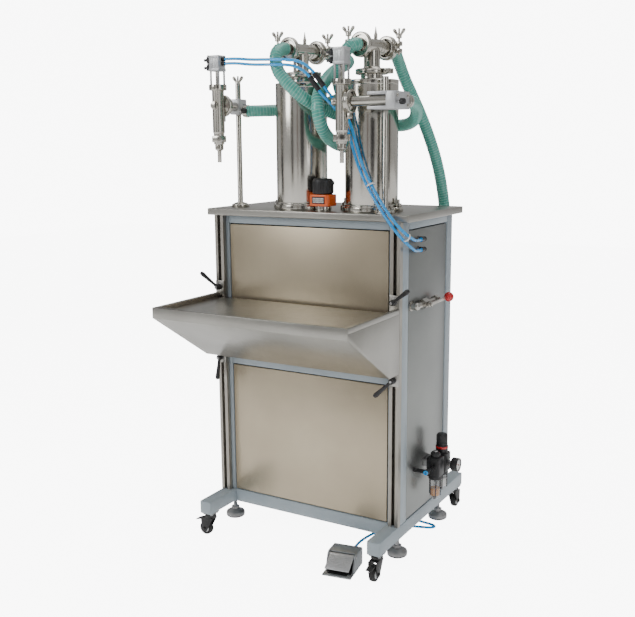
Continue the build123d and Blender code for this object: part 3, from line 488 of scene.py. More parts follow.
# ---------------------------------------------------------------- frame and cabinet
def makeFrame():
    spec = Sizes(half=300.0, depth=172.0, tube=40.0, railBottom=75.0, railTop=115.0, top=977.0, mid=555.0, soft=3.5)
    h, d, t, soft = spec.half, spec.depth, spec.tube, spec.soft
    base = Shape("baseFrame", paint, castZinc)
    for side in (-1, 1):
        x0, x1 = sorted((side * h, side * (h - t)))
        base.box(x0, x1, -300, 300, spec.railBottom, spec.railTop, soft)
        for end in (-1, 1):
            y0, y1 = sorted((end * 296.5, end * 300.6))
            base.box(x0 + 1.5, x1 - 1.5, y0, y1, spec.railBottom + 1.5, spec.railTop - 1.5, 1)
            base.post(side * 280, end * 147, ring(6, 11, 67, 76), mat=1)
            base.box(side * 280 - 19, side * 280 + 19, end * 275 - 19, end * 275 + 19, 72, 75.4, 1, mat=1)
            base.post(side * 280, end * 275, ring(0, 5, 57, 73), mat=1)
            for boltX in (-13, 13):
                for boltY in (-13, 13):
                    spot = (side * 280 + boltX, end * 275 + boltY)
                    base.nut((*spot, 68.5), (*spot, 72.2), 8, mat=1, soft=0.5)
    for y in (-152, 152):
        base.box(-h + t - 0.5, h - t + 0.5, y - 20, y + 20, spec.railBottom, spec.railTop, soft)
    base.done("frame_paint", "base_frame")

    rear, post, half = 152, 280, t / 2
    cage = Shape("cabinetFrame", paint)
    for x in (-post, post):
        for y in (-rear, rear):
            cage.box(x - half, x + half, y - half, y + half, spec.railTop, spec.top, soft)
        cage.box(x - half, x + half, -d + t - 0.5, d - t + 0.5, spec.top - t, spec.top, soft)
    for y in (-rear, rear):
        for top in (spec.top, spec.mid):
            cage.box(-h + t - 0.5, h - t + 0.5, y - half, y + half, top - t, top, soft)
    cage.done("frame_paint", "cabinet_frame")
    carry(channelSteel, "guide_channels")


def panel(shape, place, width, height, mat):
    """Folded panel facing -Y with a raised field and a shadow gap round it."""
    gap, proud, sheet = 3.0, 8.0, 1.5
    w, z = width / 2 - gap, height / 2 - gap
    shape.box(-w, w, 0, proud - 0.5, -z, z, 1.6, turn=place, mat=mat)
    # The flange plate behind the gap takes slot 2, near-black: painted shade in the shadow gap.
    shape.box(-width / 2, width / 2, proud - sheet, proud, -height / 2, height / 2, 0.3, turn=place, mat=2)


def makePanels():
    spec = Sizes(opening=520.0, sideOpening=264.0, face=170.0, sideFace=298.0, upper=(555.0, 937.0),
                lower=(115.0, 515.0), sideMiddle=526.0, sideHeight=822.0)
    # Slot 0 is the sheet with painted light for front and back, slot 1 the same sheet with painted shade for the sides,
    # and slot 2 near-black painted shade on the flanges seen in the gaps.
    panels = Shape("cabinetPanels", frontSteelPaintedLight, sideSteelPaintedShade, darkPrintAndPaintedShade)
    for low, high in (spec.upper, spec.lower):
        middle = Matrix.Translation((0, 0, (low + high) / 2))
        for turn in (0, 180):
            place = Matrix.Rotation(math.radians(turn), 4, "Z") @ Matrix.Translation((0, -spec.face, 0)) @ middle
            panel(panels, place, spec.opening, high - low, 0)
    for turn in (90, -90):
        place = Matrix.Rotation(math.radians(turn), 4, "Z") @ Matrix.Translation(
            (0, -spec.sideFace, spec.sideMiddle))
        panel(panels, place, spec.sideOpening, spec.sideHeight, 1)
    panels.done("sheet_steel", "cabinet_panels")


def makeTable():
    spec = Sizes(x=324.0, y=191.0, top=980.0, sheet=3.0, skirt=20.0, fold=3.2, edge=1.5)
    x, y, top = spec.x, spec.y, spec.top
    table = Shape("topPlate", satinSteel)
    part = bmesh.new()
    bmesh.ops.create_cube(part, size=1, matrix=block(-x, x, -y, y, top - spec.skirt, top))
    soften(part, part.edges[:], spec.fold, 4)
    below = [f for f in part.faces if f.normal.z < -0.99]
    made = bmesh.ops.inset_region(part, faces=below, thickness=spec.edge, use_even_offset=True)
    floor = [f for f in part.faces if f.normal.z < -0.99 and f not in made["faces"]]
    bmesh.ops.translate(part, vec=(0, 0, spec.skirt - spec.sheet),
                        verts=list({v for f in floor for v in f.verts}))
    table.keep(part)
    table.done("sheet_steel", "top_plate")


def makeTray():
    spec = Sizes(back=-188.3, front=-478.3, top=732.0, lip=30.0, low=555.0, foot=-246.3, rim=14.0, floor=719.0,
                half=300.0)
    back, front, top, low = spec.back, spec.front, spec.top, spec.low
    foot, rim, floor, half = spec.foot, spec.rim, spec.floor, spec.half
    tray = Shape("bottleTray", satinSteel, brightZinc)
    for side in (-1, 1):
        x0, x1 = sorted((side * half, side * (half - rim)))
        tray.box(x0, x1, front + 0.8, back, floor - 3, top, 1.8)
        inner = side * (half - 2.0)
        tray.slab([(inner, back, floor), (inner, front + 1, floor), (inner, front + 1, top - spec.lip + 1),
                   (inner, foot, low + 1), (inner, back, low + 1)], (side * 2.0, 0, 0), 0.6)
    tray.box(-half + rim - 1, half - rim + 1, front + 0.8, front + rim, floor - 3, top, 1.8)
    tray.box(-half, half, front, front + 2.5, top - spec.lip, top - 0.4, 1.0)
    tray.box(-half + 2, half - 2, front + 2, back, floor - 3, floor, 0)
    slope = Vector((0, foot - front, low - (top - spec.lip)))
    push = slope.cross(Vector((1, 0, 0))).normalized() * -2.0
    push = push if push.z > 0 else -push
    tray.slab([(-half + 1, front + 0.5, top - spec.lip), (half - 1, front + 0.5, top - spec.lip),
               (half - 1, foot, low), (-half + 1, foot, low)], tuple(push), 0.5)
    tray.box(-half, half, foot - 0.5, back, low, low + 2, 0.8)
    tray.box(-half + 2, half - 2, back - 2, back, low, floor, 0.3)
    for x in (-285, 285):
        for z0, z1 in ((top - 8, top + 36), (low - 36, low + 8)):
            tray.box(x - 15, x + 15, back - 3, back, z0, z1, 1.2)
            hole = (z0 + z1) / 2 + (4 if z0 > low else -4)
            tray.along((x, back - 3, hole), (x, back - 5, hole), ring(4.3, 9.5, 0, 1.6), mat=1)
            tray.box(x - 10, x + 10, -185.2, -179.2, hole - 10, hole + 10, 0.6, mat=1)
    tray.done("sheet_steel", "tray", body="tray")


def makeLevers():
    places = {"upper_left": (-285, 750, 140), "upper_right": (285, 750, 36), "lower_left": (-285, 537, 270),
              "lower_right": (285, 537, 225)}
    for name, (x, z, angle) in places.items():
        lever = Shape("clampLever" + titled(name), blackPlastic, brightZinc)
        face = -191.3
        lever.along((x, face, z), (x, face - 20, z),
                    [(0, 0), (9, 0), (9, 9), (7.6, 12), (7.6, 17), (5, 20), (0, 20)], cut=1.2)
        lever.bar((x, face - 18, z), (x, face - 21.5, z), 3.4, mat=1)
        reach = Vector((math.cos(math.radians(angle)), 0, math.sin(math.radians(angle))))
        root, end = Vector((x, face - 12, z)), Vector((x, face - 24, z)) + reach * 60
        length = (end - root).length
        lever.along(root, end, [(0, 0), (4.6, 0), (4.2, length * 0.25), (5.6, length * 0.7), (6.8, length * 0.95),
                                (5.2, length + 4.5), (0, length + 6.5)], cut=2)
        lever.bar((x, face, z), (x, -180.5, z), 4, mat=1)
        lever.done("black_plastic", "clamp_lever_" + name, body="lever_" + name)


def corner(name, y):
    """Where the caster or foot of this corner stands on its rail."""
    return (-280 if "left" in name else 280), (-y if "front" in name else y)


def titled(name):
    return "".join(word.title() for word in name.split("_"))


def makeCasters():
    angles = {"front_left": 180.0, "front_right": 270.0, "rear_left": 75.0, "rear_right": 90.0}
    for name, angle in angles.items():
        place = turned(*corner(name, 275), angle)
        label = titled(name)
        fork = Shape("casterFork" + label, blackPlastic, place=place)
        fork.post(0, 0, [(5.05, 56), (10, 56), (17, 60), (17, 67), (14.5, 71.6), (5.05, 71.6)])
        fork.box(-14, 22, -13.4, 13.4, 55, 59, 1.2)
        for y in (-13.5, 11.0):
            fork.slab([(-14, y, 57), (28, y, 57), (28, y, 45), (24, y, 14), (20, y, 11.5), (12, y, 11.5), (8, y, 14)],
                      (0, 2.5, 0), 0.6)
        fork.bar((16, -14.6, 21), (16, 14.6, 21), 4)
        for y in (-13.5, 13.5):
            fork.nut((16, y, 21), (16, y + math.copysign(3.2, y), 21), 10)
        if "front" in name:
            fork.bar((24, -13, 50), (24, 13, 50), 2)
        fork.done("fork_steel", "caster_fork_" + name, body="fork_" + name)
        wheel = Shape("casterWheel" + label, rubber, aluminium, place=place)
        wheel.along((16, -9, 21), (16, 9, 21), [(13, 0.8), (17, 0.2), (20, 1.5), (21, 4.5), (21, 13.5), (20, 16.5),
                                               (17, 17.8), (13, 17.2)], cut=1)
        wheel.along((16, -10.7, 21), (16, 10.7, 21), [(4.05, 0), (8.5, 0), (9, 2.4), (13.4, 3.4), (13.4, 18),
                                                     (9, 19), (8.5, 21.4), (4.05, 21.4)], mat=1)
        wheel.done("wheel_rubber", "caster_wheel_" + name, body="wheel_" + name)
        if "front" in name:
            brake = Shape("casterBrake" + label, blackPlastic, place=place)
            brake.along((24, -9.5, 50), (24, 9.5, 50), ring(2.05, 4, 0, 19))
            brake.slab([(26, -9.5, 52), (38, -9.5, 49.5), (50, -9.5, 44), (50, -9.5, 41.5), (26, -9.5, 48.6)],
                       (0, 19, 0), 0.8)
            for rib in (34, 38, 42, 46):
                z = 51.2 - (rib - 30) * 0.38
                brake.box(rib - 0.6, rib + 0.6, -8, 8, z - 1.5, z + 0.4, 0.2)
            brake.done("black_plastic", "caster_brake_" + name, body="brake_" + name)


def makeFeet():
    thread = Sizes(low=47.0, pitch=1.7, turns=26, crest=6.0, root=5.4, top=92.5)
    for name in ("front_left", "front_right", "rear_left", "rear_right"):
        x, y = corner(name, 147)
        foot = Shape("levellingFoot" + titled(name), ironGrey, brightZinc, rubber)
        foot.post(x, y, [(0, 15), (26, 15), (28.4, 17), (28.6, 20), (0, 20)], mat=2, steps=56)
        foot.post(x, y, [(0, 19.5), (28.8, 19.5), (29, 22), (29, 28), (27.5, 31), (15, 37), (13, 38), (0, 38)],
                  cut=1.6, steps=56)
        foot.post(x, y, [(28.6, 23.5), (29.2, 24.3), (28.6, 25.1)], cut=0, steps=56)
        turns = [(0, 36)]
        for k in range(thread.turns):
            z = thread.low + k * thread.pitch
            turns += [(thread.crest, z), (thread.root, z + thread.pitch / 2)]
        foot.post(x, y, turns + [(0, thread.top)], mat=1, cut=0, steps=20)
        foot.nut((x, y, 36.5), (x, y, 47), 22)
        foot.done("zinc_foot", "levelling_foot_" + name, body="foot_" + name)


# ---------------------------------------------------------------- product cylinders and valves
def makeBarrels():
    spec = Sizes(base=980.0, flange=994.0, top=1330.0, head=1318.0, r=72.5, neck=30.0, neckTop=1352.0, ferrule=38.0,
                lug=92.0, stud=82.0)
    y = valve.y
    barrels, caps = Shape("productBarrels", polished), Shape("barrelEndCaps", polished, satinSteel)
    for x in valve.column:
        barrels.post(x, y, ring(69.5, spec.r, spec.flange, spec.head), cut=0.4, steps=96)
        caps.post(x, y, ring(10.1, 80, spec.base, spec.flange),
                  cut=2, steps=80)
        caps.post(x, y, [(72.7, spec.flange - 0.5), (75.5, spec.flange - 0.5), (75.5, spec.flange + 5),
                         (72.7, spec.flange + 7)], cut=1, steps=80)
        for side in (-1, 1):
            x0, x1 = sorted((x + side * 70, x + side * spec.lug))
            caps.box(x0, x1, y - 11, y + 11, spec.base, spec.flange, 2.5)
        caps.post(x, y, [(20, spec.head), (72.6, spec.head), (72.6, spec.top - 1), (70, spec.top),
                         (spec.neck + 6, spec.top), (spec.neck, spec.top + 3),
                         (spec.neck, spec.neckTop - 7), (spec.ferrule, spec.neckTop - 4),
                         (spec.ferrule, spec.neckTop), (20, spec.neckTop)], cut=1.5, steps=96)
        caps.post(x, y, [(72.5, spec.head - 1.2), (73.0, spec.head - 0.6), (72.5, spec.head)], cut=0, steps=96)
    barrels.done("polished_steel", "product_barrels")
    caps.done("polished_steel", "barrel_end_caps")


def clampRing(shape, start, end, middle, outer, inner):
    """Two-piece pipe clamp: a thick band with a shallow waist."""
    half = (Vector(end) - Vector(start)).normalized() * 7.5
    low, high = Vector(middle) - half, Vector(middle) + half
    shape.along(low, high, [(inner, 0), (outer - 3, 0), (outer, 2.5), (outer - 1.2, 6), (outer - 1.2, 9),
                            (outer, 12.5), (outer - 3, 15), (inner, 15)], cut=1.2, steps=48)


def wingNut(shape, x, y, z, mat=0):
    shape.post(x, y, [(0, z), (8, z), (7.5, z + 4), (5.8, z + 12), (3.4, z + 13.5), (0, z + 13.5)], mat=mat, cut=1.2)
    shape.bar((x, y, z + 10), (x, y, z + 26), 3, mat=mat)
    for side in (-1, 1):
        shape.along((x + side * 3, y, z + 5), (x + side * 14.5, y, z + 22),
                    [(0, 0), (4.4, 0), (3.2, 7), (4.6, 14), (5.2, 18), (3.6, 23), (0, 24.5)], mat=mat, cut=2)


def makeValves():
    spec = Sizes(neckTop=1352.0, riser=22.0, thick=4.0, neckFerrule=38.0, neckClamp=45.0)
    z, y, t = valve.z, valve.y, spec.thick
    bodies, rings = Shape("valveBodies", polished), Shape("sanitaryClamps", polished)
    fasteners, ends = Shape("clampFasteners", polished), Shape("hoseAdapters", whitePlastic, polished, blackPlastic)
    for x in valve.column:
        front, back = onValve(x, -valve.front), onValve(x, valve.back)
        bodies.post(x, y, [(20, spec.neckTop), (spec.neckFerrule, spec.neckTop),
                           (spec.neckFerrule, spec.neckTop + t), (spec.riser + 5, spec.neckTop + 7),
                           (spec.riser, spec.neckTop + 12), (spec.riser, z - 12), (spec.riser - 5, z),
                           (0, z)], cut=2, steps=56)
        length = valve.front + valve.back
        bodies.along(front, back, [(17, 0), (valve.ferrule, 0), (valve.ferrule, t), (valve.r + 1.5, t + 3),
                                   (valve.r, t + 6), (valve.r, length - t - 6), (valve.r + 1.5, length - t - 3),
                                   (valve.ferrule, length - t), (valve.ferrule, length), (17, length)],
                     cut=1.2, steps=56)
        for spot in (22, 36):
            bodies.along(onValve(x, spot), onValve(x, spot + 4), [(valve.r - 1, 0), (valve.r + 1.1, 0.5),
                                                                  (valve.r + 1.1, 3.5), (valve.r - 1, 4)])
        ventX, ventY, _ = onValve(x, 18)
        ends.post(ventX, ventY, [(0, z + 17), (5, z + 17), (5, z + 33), (3.6, z + 35), (0.9, z + 52), (0, z + 52.4)],
                  mat=1, cut=1)
        for far, sign in ((-valve.front, -1), (valve.back, 1)):
            ends.along(onValve(x, far), onValve(x, far + sign * 8), [(0, 0), (valve.ferrule, 0), (valve.ferrule, t),
                                                                     (17, t), (17, 8), (0, 8)], mat=1)
            ends.along(onValve(x, far + sign * 7), onValve(x, far + sign * 15),
                       ring(16.9, 18.0, 0, 8), mat=1, cut=1)
        clampRing(rings, (x, y, 0), (x, y, 1), (x, y, spec.neckTop), spec.neckClamp, spec.neckFerrule - 1)
        for y0, y1 in ((-12, -3), (3, 12)):
            rings.box(x + 42, x + 59, y + y0, y + y1, spec.neckTop - 7, spec.neckTop + 7, 1.5)
        fasteners.nut((x + 51, y - 23, spec.neckTop), (x + 51, y - 12.2, spec.neckTop), 12)
        fasteners.bar((x + 51, y - 24, spec.neckTop), (x + 51, y + 14, spec.neckTop), 3)
        for far, center, ear in ((-valve.front, front, -1), (valve.back, back, 1)):
            clampRing(rings, front, back, center, valve.clamp, valve.ferrule - 1)
            side = ear * (valve.clamp + 6)
            place = turned(x, y, valve.turn)
            x0, x1 = (side - 12, side + 8) if ear > 0 else (side - 8, side + 12)
            for z0, z1 in ((z - 16, z - 3), (z + 3, z + 16)):
                rings.box(x0, x1, far - 7, far + 7, z0, z1, 2.5, turn=place)
            spotX, spotY = onValve(x, far, side=side)[:2]
            fasteners.bar((spotX, spotY, z - 20), (spotX, spotY, z + 26), 3.2)
            wingNut(fasteners, spotX, spotY, z + 24)
        for side in (-1, 1):
            stud = x + side * 82
            fasteners.nut((stud, y, 994), (stud, y, 1003), 15)
            fasteners.bar((stud, y, 994), (stud, y, 1014), 4)
    bodies.done("polished_steel", "valve_bodies")
    rings.done("polished_steel", "sanitary_clamps")
    fasteners.done("polished_steel", "clamp_fasteners")
    ends.done("hose_pvc", "hose_adapters")


# ---------------------------------------------------------------- volume screw
def makeIndicator():
    spec = Sizes(x=44.0, y=-146.0, base=994.0, high=32.0)
    x, y, base = spec.x, spec.y, spec.base
    top = base + spec.high
    housing = Shape("indicatorHousing", orange, darkPrintAndPaintedShade, whitePlastic, polished)
    part = bmesh.new()
    bmesh.ops.create_cube(part, size=1, matrix=block(x - 31, x + 31, y - 27, y + 27, base, top))
    soften(part, [e for e in part.edges if abs(e.verts[0].co.z - e.verts[1].co.z) > 1], 10, 6)
    soften(part, [e for e in part.edges if abs(e.verts[0].co.z - e.verts[1].co.z) < 0.1], 2.2, 3)
    housing.keep(part)
    housing.post(x, y, ring(0, 22, 980, base + 0.5), mat=3)
    front = y - 27
    housing.box(x - 20, x + 20, front - 0.6, front + 1, base + 7, base + 26, 0.5, mat=1)
    for k in range(4):
        left = x - 16.5 + k * 8.6
        housing.box(left, left + 7, front - 1.1, front - 0.3, base + 10, base + 23, 0.3, mat=2)
        housing.box(left + 1.6, left + 5.4, front - 1.5, front - 0.9, base + 11.8, base + 21.2, 0.2, mat=1)
        housing.box(left + 2.8, left + 4.2, front - 1.9, front - 1.3, base + 13.4, base + 19.6, 0.1, mat=2)
    housing.done("orange_plastic", "indicator_housing")
    low = top + 0.3
    knob = Shape("adjustingKnob", blackPlastic, brightZinc)
    knob.post(x, y, [(0, low), (26, low), (29, low + 3), (29, low + 36), (25, low + 43), (12, low + 44), (0, low + 42)],
              cut=2.5, steps=64)
    for k in range(24):
        spot = onCircle(x, y, 28.3, k, 24)
        knob.bar((*spot, low + 5), (*spot, low + 34), 1.5, steps=8)
    knob.bar((x + 20, y, low + 31), (x + 33.5, y, low + 31), 6)
    knob.ball((x, y, low + 42.5), 5, mat=1)
    knob.bar((x, y, 555.6), (x, y, low + 1), 8, mat=1)
    knob.done("black_plastic", "adjusting_knob", body="volume_knob")


# ---------------------------------------------------------------- nozzle stands
def makeStands():
    spec = Sizes(tip=1113.0, top=1406.0, rodTop=1333.0, table=980.0, block=35.0, high=43.0)
    tip, top = spec.tip, spec.top
    rods, blocks = Shape("standRods", polished, satinSteel), Shape("rodClamps", aluminium, blackPlastic, polished)
    bodies = Shape("nozzleBodies", polished)
    cylinders = Shape("nozzleAirCylinders", aluminium, brightZinc, darkPrintAndPaintedShade)
    for name, stand in stands.items():
        place = turned(*stand.at, stand.turn)
        rx, ry = stand.rod
        if not ry:
            rods.place = None
            wingNut(rods, *onStand(name, rx, ry, 0)[:2], spec.rodTop - 1)
        rods.place = blocks.place = bodies.place = place
        cylinders.place = Matrix.Translation((*stand.at, 0))
        rods.post(rx, ry, [(0, spec.table), (26, spec.table), (26, 988), (22, 990), (14, 991), (13, 994), (8, 994),
                           (8, spec.rodTop - 1), (7, spec.rodTop), (0, spec.rodTop)], cut=1.2)
        for a in (0, 120, 240):
            spot = (rx + 18 * math.cos(math.radians(a + 30)), ry + 18 * math.sin(math.radians(a + 30)))
            rods.nut((*spot, 989.5), (*spot, 993), 7, mat=1, soft=0.4)
        b0, b1 = stand.block
        a0, a1 = stand.across
        z0, z1 = armZ - 22, armZ + 22
        if ry:
            blocks.box(b0, b1, a0, a1, z0, z1, 2.0)
            for p0, p1 in ((z0, z0 + 8), (z1 - 8, z1)):
                blocks.box(rx - 16, b0 + 4, a0, a1, p0, p1, 1.5)
            blocks.post(rx, ry, ring(8.2, 15, z0, z1))
            blocks.along((b0 + 13, a1, armZ), (b0 + 13, a1 + 8, armZ), ring(12, 17, 0, 8), mat=2)
            blocks.along((b0 + 13, a1 + 7, armZ), (b0 + 13, a1 + 17, armZ), ring(16.9, 18.2, 0, 10), mat=2, cut=1)
            start, end = (b1, a0 + 14, armZ - 4), (b1 + 22, a0 + 14, armZ - 4)
            for spot in ((a0 + 14, armZ + 12), (a1 - 14, armZ + 12), (a1 - 14, armZ - 12)):
                blocks.nut((b1 - 1, *spot), (b1 + 2.5, *spot), 9, mat=2, soft=0.5)
        else:
            blocks.box(b0, b1, a0, a1, z0, z1, 2.0)
            blocks.box(rx - 1, b1 + 0.3, a0 - 0.2, a1 + 0.2, armZ + 6, armZ + 7.5, 0, mat=1)
            spot = b0 + 30
            blocks.along((spot, -a1, armZ - 12), (spot, -a1 - 8, armZ - 12), ring(12, 17, 0, 8), mat=2)
            blocks.along((spot, -a1 - 7, armZ - 12), (spot, -a1 - 15, armZ - 12), ring(16.9, 18.2, 0, 8), mat=2,
                         cut=1)
            start, end = (b0 + 3, -a1, armZ - 12), (b0 + 3, -a1 - 22, armZ - 12)
        knob = Shape("rodClampKnob" + name.title(), blackPlastic, brightZinc, place=place)
        knob.along(start, end, [(0, 7), (6, 7), (8, 10), (8, 19), (6, 22), (0, 22)], cut=1.5)
        knob.along(start, end, ring(0, 4, 0.3, 8), mat=1)
        aim = aimed(Vector(start), Vector(end), start)
        for k in range(6):
            spot = onCircle(0, 0, 7, k, 6)
            knob.bar((*spot, 10.5), (*spot, 18.5), 1.8, turn=place @ aim, steps=10)
        knob.done("black_plastic", "rod_clamp_knob_" + name, body=name + "_clamp_knob")

        bodies.post(0, 0, [(4.5, tip), (6, tip), (6, tip + 32), (12, tip + 36), (12, tip + 50), (4.5, tip + 50)], cut=1)
        bodies.post(0, 0, [(11, tip + 50), (15, tip + 50), (15, tip + 80), (17, tip + 83), (17, tip + 198),
                           (25, tip + 199), (25, tip + 214), (11, tip + 214)], cut=1.5)
        bodies.nut((0, 0, tip + 56), (0, 0, tip + 74), 40, soft=1.2)
        for k in (40, 44, 48):
            bodies.post(0, 0, [(11.8, tip + k - 2), (12.8, tip + k - 1.4), (12.8, tip + k - 0.6), (11.8, tip + k)],
                        cut=0)
        bodies.along((0, 0, armZ), (24, 0, armZ), [(0, 0), (13, 0), (13, 18), (25, 20.5), (25, 24), (0, 24)])
        bodies.along((0, 0, armZ), (-26, 0, armZ), [(0, 0), (9, 0), (9, 20), (10.5, 20.6), (10.5, 26), (0, 26)])
        bodies.along((24, 0, armZ), (b0, 0, armZ), [(0, 0), (25, 0), (25, 3.5), (13, 6), (13, b0 - 24), (0, b0 - 24)])
        clampRing(bodies, (24, 0, armZ), (25, 0, armZ), (24, 0, armZ), 31, 24)
        bodies.box(18, 30, -7, 7, armZ - 44, armZ - 29, 2)
        bodies.bar((24, 0, armZ - 44), (24, 0, armZ - 43.5), 4)

        s = spec.block / 2
        airZ = top - spec.high
        cylinders.box(-s, s, -s, s, airZ, airZ + 8, 1.5)
        cylinders.box(-s, s, -s, s, top - 8, top, 1.5)
        cylinders.box(-s + 1.2, s - 1.2, -s + 1.2, s - 1.2, airZ + 4, top - 4, 1.0)
        for u in (-11, -5, 5, 11):
            cylinders.box(u - 1.6, u + 1.6, -s + 0.4, s - 0.4, airZ + 7, top - 7, 0.5)
            cylinders.box(-s + 0.4, s - 0.4, u - 1.6, u + 1.6, airZ + 7, top - 7, 0.5)
        for px in (-13, 13):
            for py in (-13, 13):
                cylinders.post(px, py, ring(0, 3, tip + 214, airZ), mat=1)
                # Near-black discs at the top corners, slot 2: painted shade in the screw holes.
                cylinders.post(px, py, ring(0, 3, top - 0.4, top), mat=2)
    rods.done("polished_steel", "stand_rods")
    blocks.done("aluminium_body", "rod_clamps")
    bodies.done("polished_steel", "nozzle_bodies")
    cylinders.done("aluminium_body", "nozzle_air_cylinders")
    carry(polished, "nozzle_plunger_left", "nozzle_plunger_right")


# ---------------------------------------------------------------- side fittings
def makeAirService():
    spec = Sizes(x=338.0, near=-18.0, far=30.0, z=245.0, w=20.0)
    x, z, w = spec.x, spec.z, spec.w
    unit = Shape("filterRegulator", blackPlastic, clearBowl, red, brightZinc, whitePlastic, amberOil)
    for y, bowl in ((spec.near, 72.0), (spec.far, 60.0)):
        unit.box(x - w, x + w, y - w, y + w, z - 25, z + 32, 4, rows=3)
        unit.post(x, y, [(16.5, z - 24), (19.5, z - 24), (19.5, z - 33), (16.8, z - 35), (16.5, z - 35)][::-1])
        unit.post(x, y, [(0, z - 25 - bowl), (6, z - 25 - bowl), (15, z - 25 - bowl + 6), (17, z - 25 - bowl + 14),
                         (17, z - 33), (0, z - 33)], mat=1, cut=3)
        unit.post(x, y, ring(0, 4.5, z - 25 - bowl, z - 16 - bowl), mat=0)
        level = z - 46 if y > 0 else z - 62
        unit.post(x, y, ring(0, 14, z - bowl - 12, level), mat=4 if y > 0 else 5)
        for k in range(6):
            spot = onCircle(x, y, 17, k, 6)
            unit.bar((*spot, z - 34), (*spot, z - 25 - bowl * 0.8), 1.4, steps=8)
    unit.box(x - 12, x + 12, spec.near + w - 1, spec.far - w + 1, z - 10, z + 22, 1.5)
    unit.box(298, x - w + 1, spec.near, spec.far, z - 4, z + 18, 1.5, mat=3)
    unit.post(x, spec.far, [(0, z + 31), (18, z + 31), (18, z + 44), (17, z + 54), (0, z + 54)])
    unit.post(x, spec.far, [(17.8, z + 44), (18.8, z + 44.6), (18.8, z + 50), (17.6, z + 50.6)], mat=2, cut=0.5)
    unit.post(x, spec.near, [(0, z + 31), (14, z + 31), (14, z + 42), (11, z + 46), (0, z + 46)])
    unit.post(x, spec.near, ring(0, 6, z + 45.5, z + 50), mat=3)
    unit.done("black_plastic", "filter_regulator")
    knob = Shape("regulatorKnob", blackPlastic)
    knob.post(x, spec.far, [(0, z + 54.3), (17, z + 54.3), (17, z + 60), (15.8, z + 64), (15.8, z + 84),
                               (13.5, z + 87), (0, z + 88)], cut=1.5)
    for k in range(20):
        spot = onCircle(x, spec.far, 15.6, k, 20)
        knob.bar((*spot, z + 65), (*spot, z + 83), 1.1, steps=8)
    knob.done("black_plastic", "regulator_knob", body="regulator_dial")
    gauge = Shape("pressureGauge", blackPlastic, whitePlastic, red, brightZinc, darkPrintAndPaintedShade)
    y, face = spec.far, x + w + 31
    gauge.bar((x + w - 1, y, z), (x + w + 13, y, z), 8, mat=3)
    gauge.along((x + w + 12, y, z), (x + w + 34, y, z),
                [(0, 0), (17, 0), (20, 3), (20, 22), (17.4, 22), (17.4, 19), (0, 19)], steps=48)
    gauge.bar((face - 1, y, z), (face + 0.6, y, z), 17.3, mat=1, cut=0.2, steps=48)
    for k in range(11):
        a = math.radians(225 - 27 * k)
        near, far = Vector((0, math.cos(a), math.sin(a))) * 13, Vector((0, math.cos(a), math.sin(a))) * 16
        spot = Vector((face + 0.7, y, z))
        gauge.bar(spot + near, spot + far, 0.45, mat=4, steps=6, cut=0)
    needle = Vector((0, math.cos(math.radians(150)), math.sin(math.radians(150))))
    spot = Vector((face + 1.2, y, z))
    gauge.along(spot - needle * 4, spot + needle * 13, [(0, 0), (0.9, 0), (0.4, 17), (0, 17)], mat=2, steps=8, cut=0)
    gauge.bar((face, y, z), (face + 2, y, z), 2, mat=4, steps=16)
    gauge.done("black_plastic", "pressure_gauge")


def makeHandValve():
    carry(nickel, "hand_valve_body")
    spec = Sizes(x=332.0, y=-65.0, z=729.0, ball=70.0)
    x, y, z = spec.x, spec.y, spec.z
    lever = Shape("handValveLever", nickel, red)
    lever.box(x, x + 4, y - 10, y + 10, z - 7, z + 7, 1.2)
    lever.box(x + 0.4, x + 3.6, y, 62, z - 5, z + 5, 1.2)
    lever.nut((x + 3.8, y, z), (x + 9, y, z), 12)
    lever.bar((x + 2, 50, z), (x + 2, 62, z), 6, mat=1)
    lever.ball((x + 2, spec.ball, z), 14, mat=1)
    lever.done("lever_red", "hand_valve_lever", body="valve_lever")


def makeAirFittings():
    carry(blackPlastic, "air_fittings")
    trim = Shape("airFittingTrim", brightZinc, whitePlastic, blue)
    for stand in stands.values():
        x, y = stand.at
        for z in (1374, 1395):
            trim.nut((x - 17.4, y, z), (x - 21, y, z), 11)
            trim.post(x - 29.5, y, ring(0, 4.4, z + 7, z + 13))
    for z in (880, 908):
        trim.nut((298.2, -70, z), (302, -70, z), 14)
        trim.along((316, -91, z), (316, -94.5, z), ring(4.2, 5.6, 0, 3.5), mat=2)
    trim.along((338, -86, 250), (338, -90.5, 250), [(0, 0), (6.8, 0), (6.8, 4.5), (3.6, 4.5), (3.6, 2), (0, 2)], mat=2)
    for spot, ahead in (((215, -192, 1056), (33, -9, -60)), ((325, -205, 925), (8, 18, -12))):
        a = Vector(spot)
        step = Vector(ahead).normalized() * 2
        trim.along(a - step, a + step, ring(11, 12, 0, 4), mat=1, cut=0.3)
    trim.done("black_plastic")


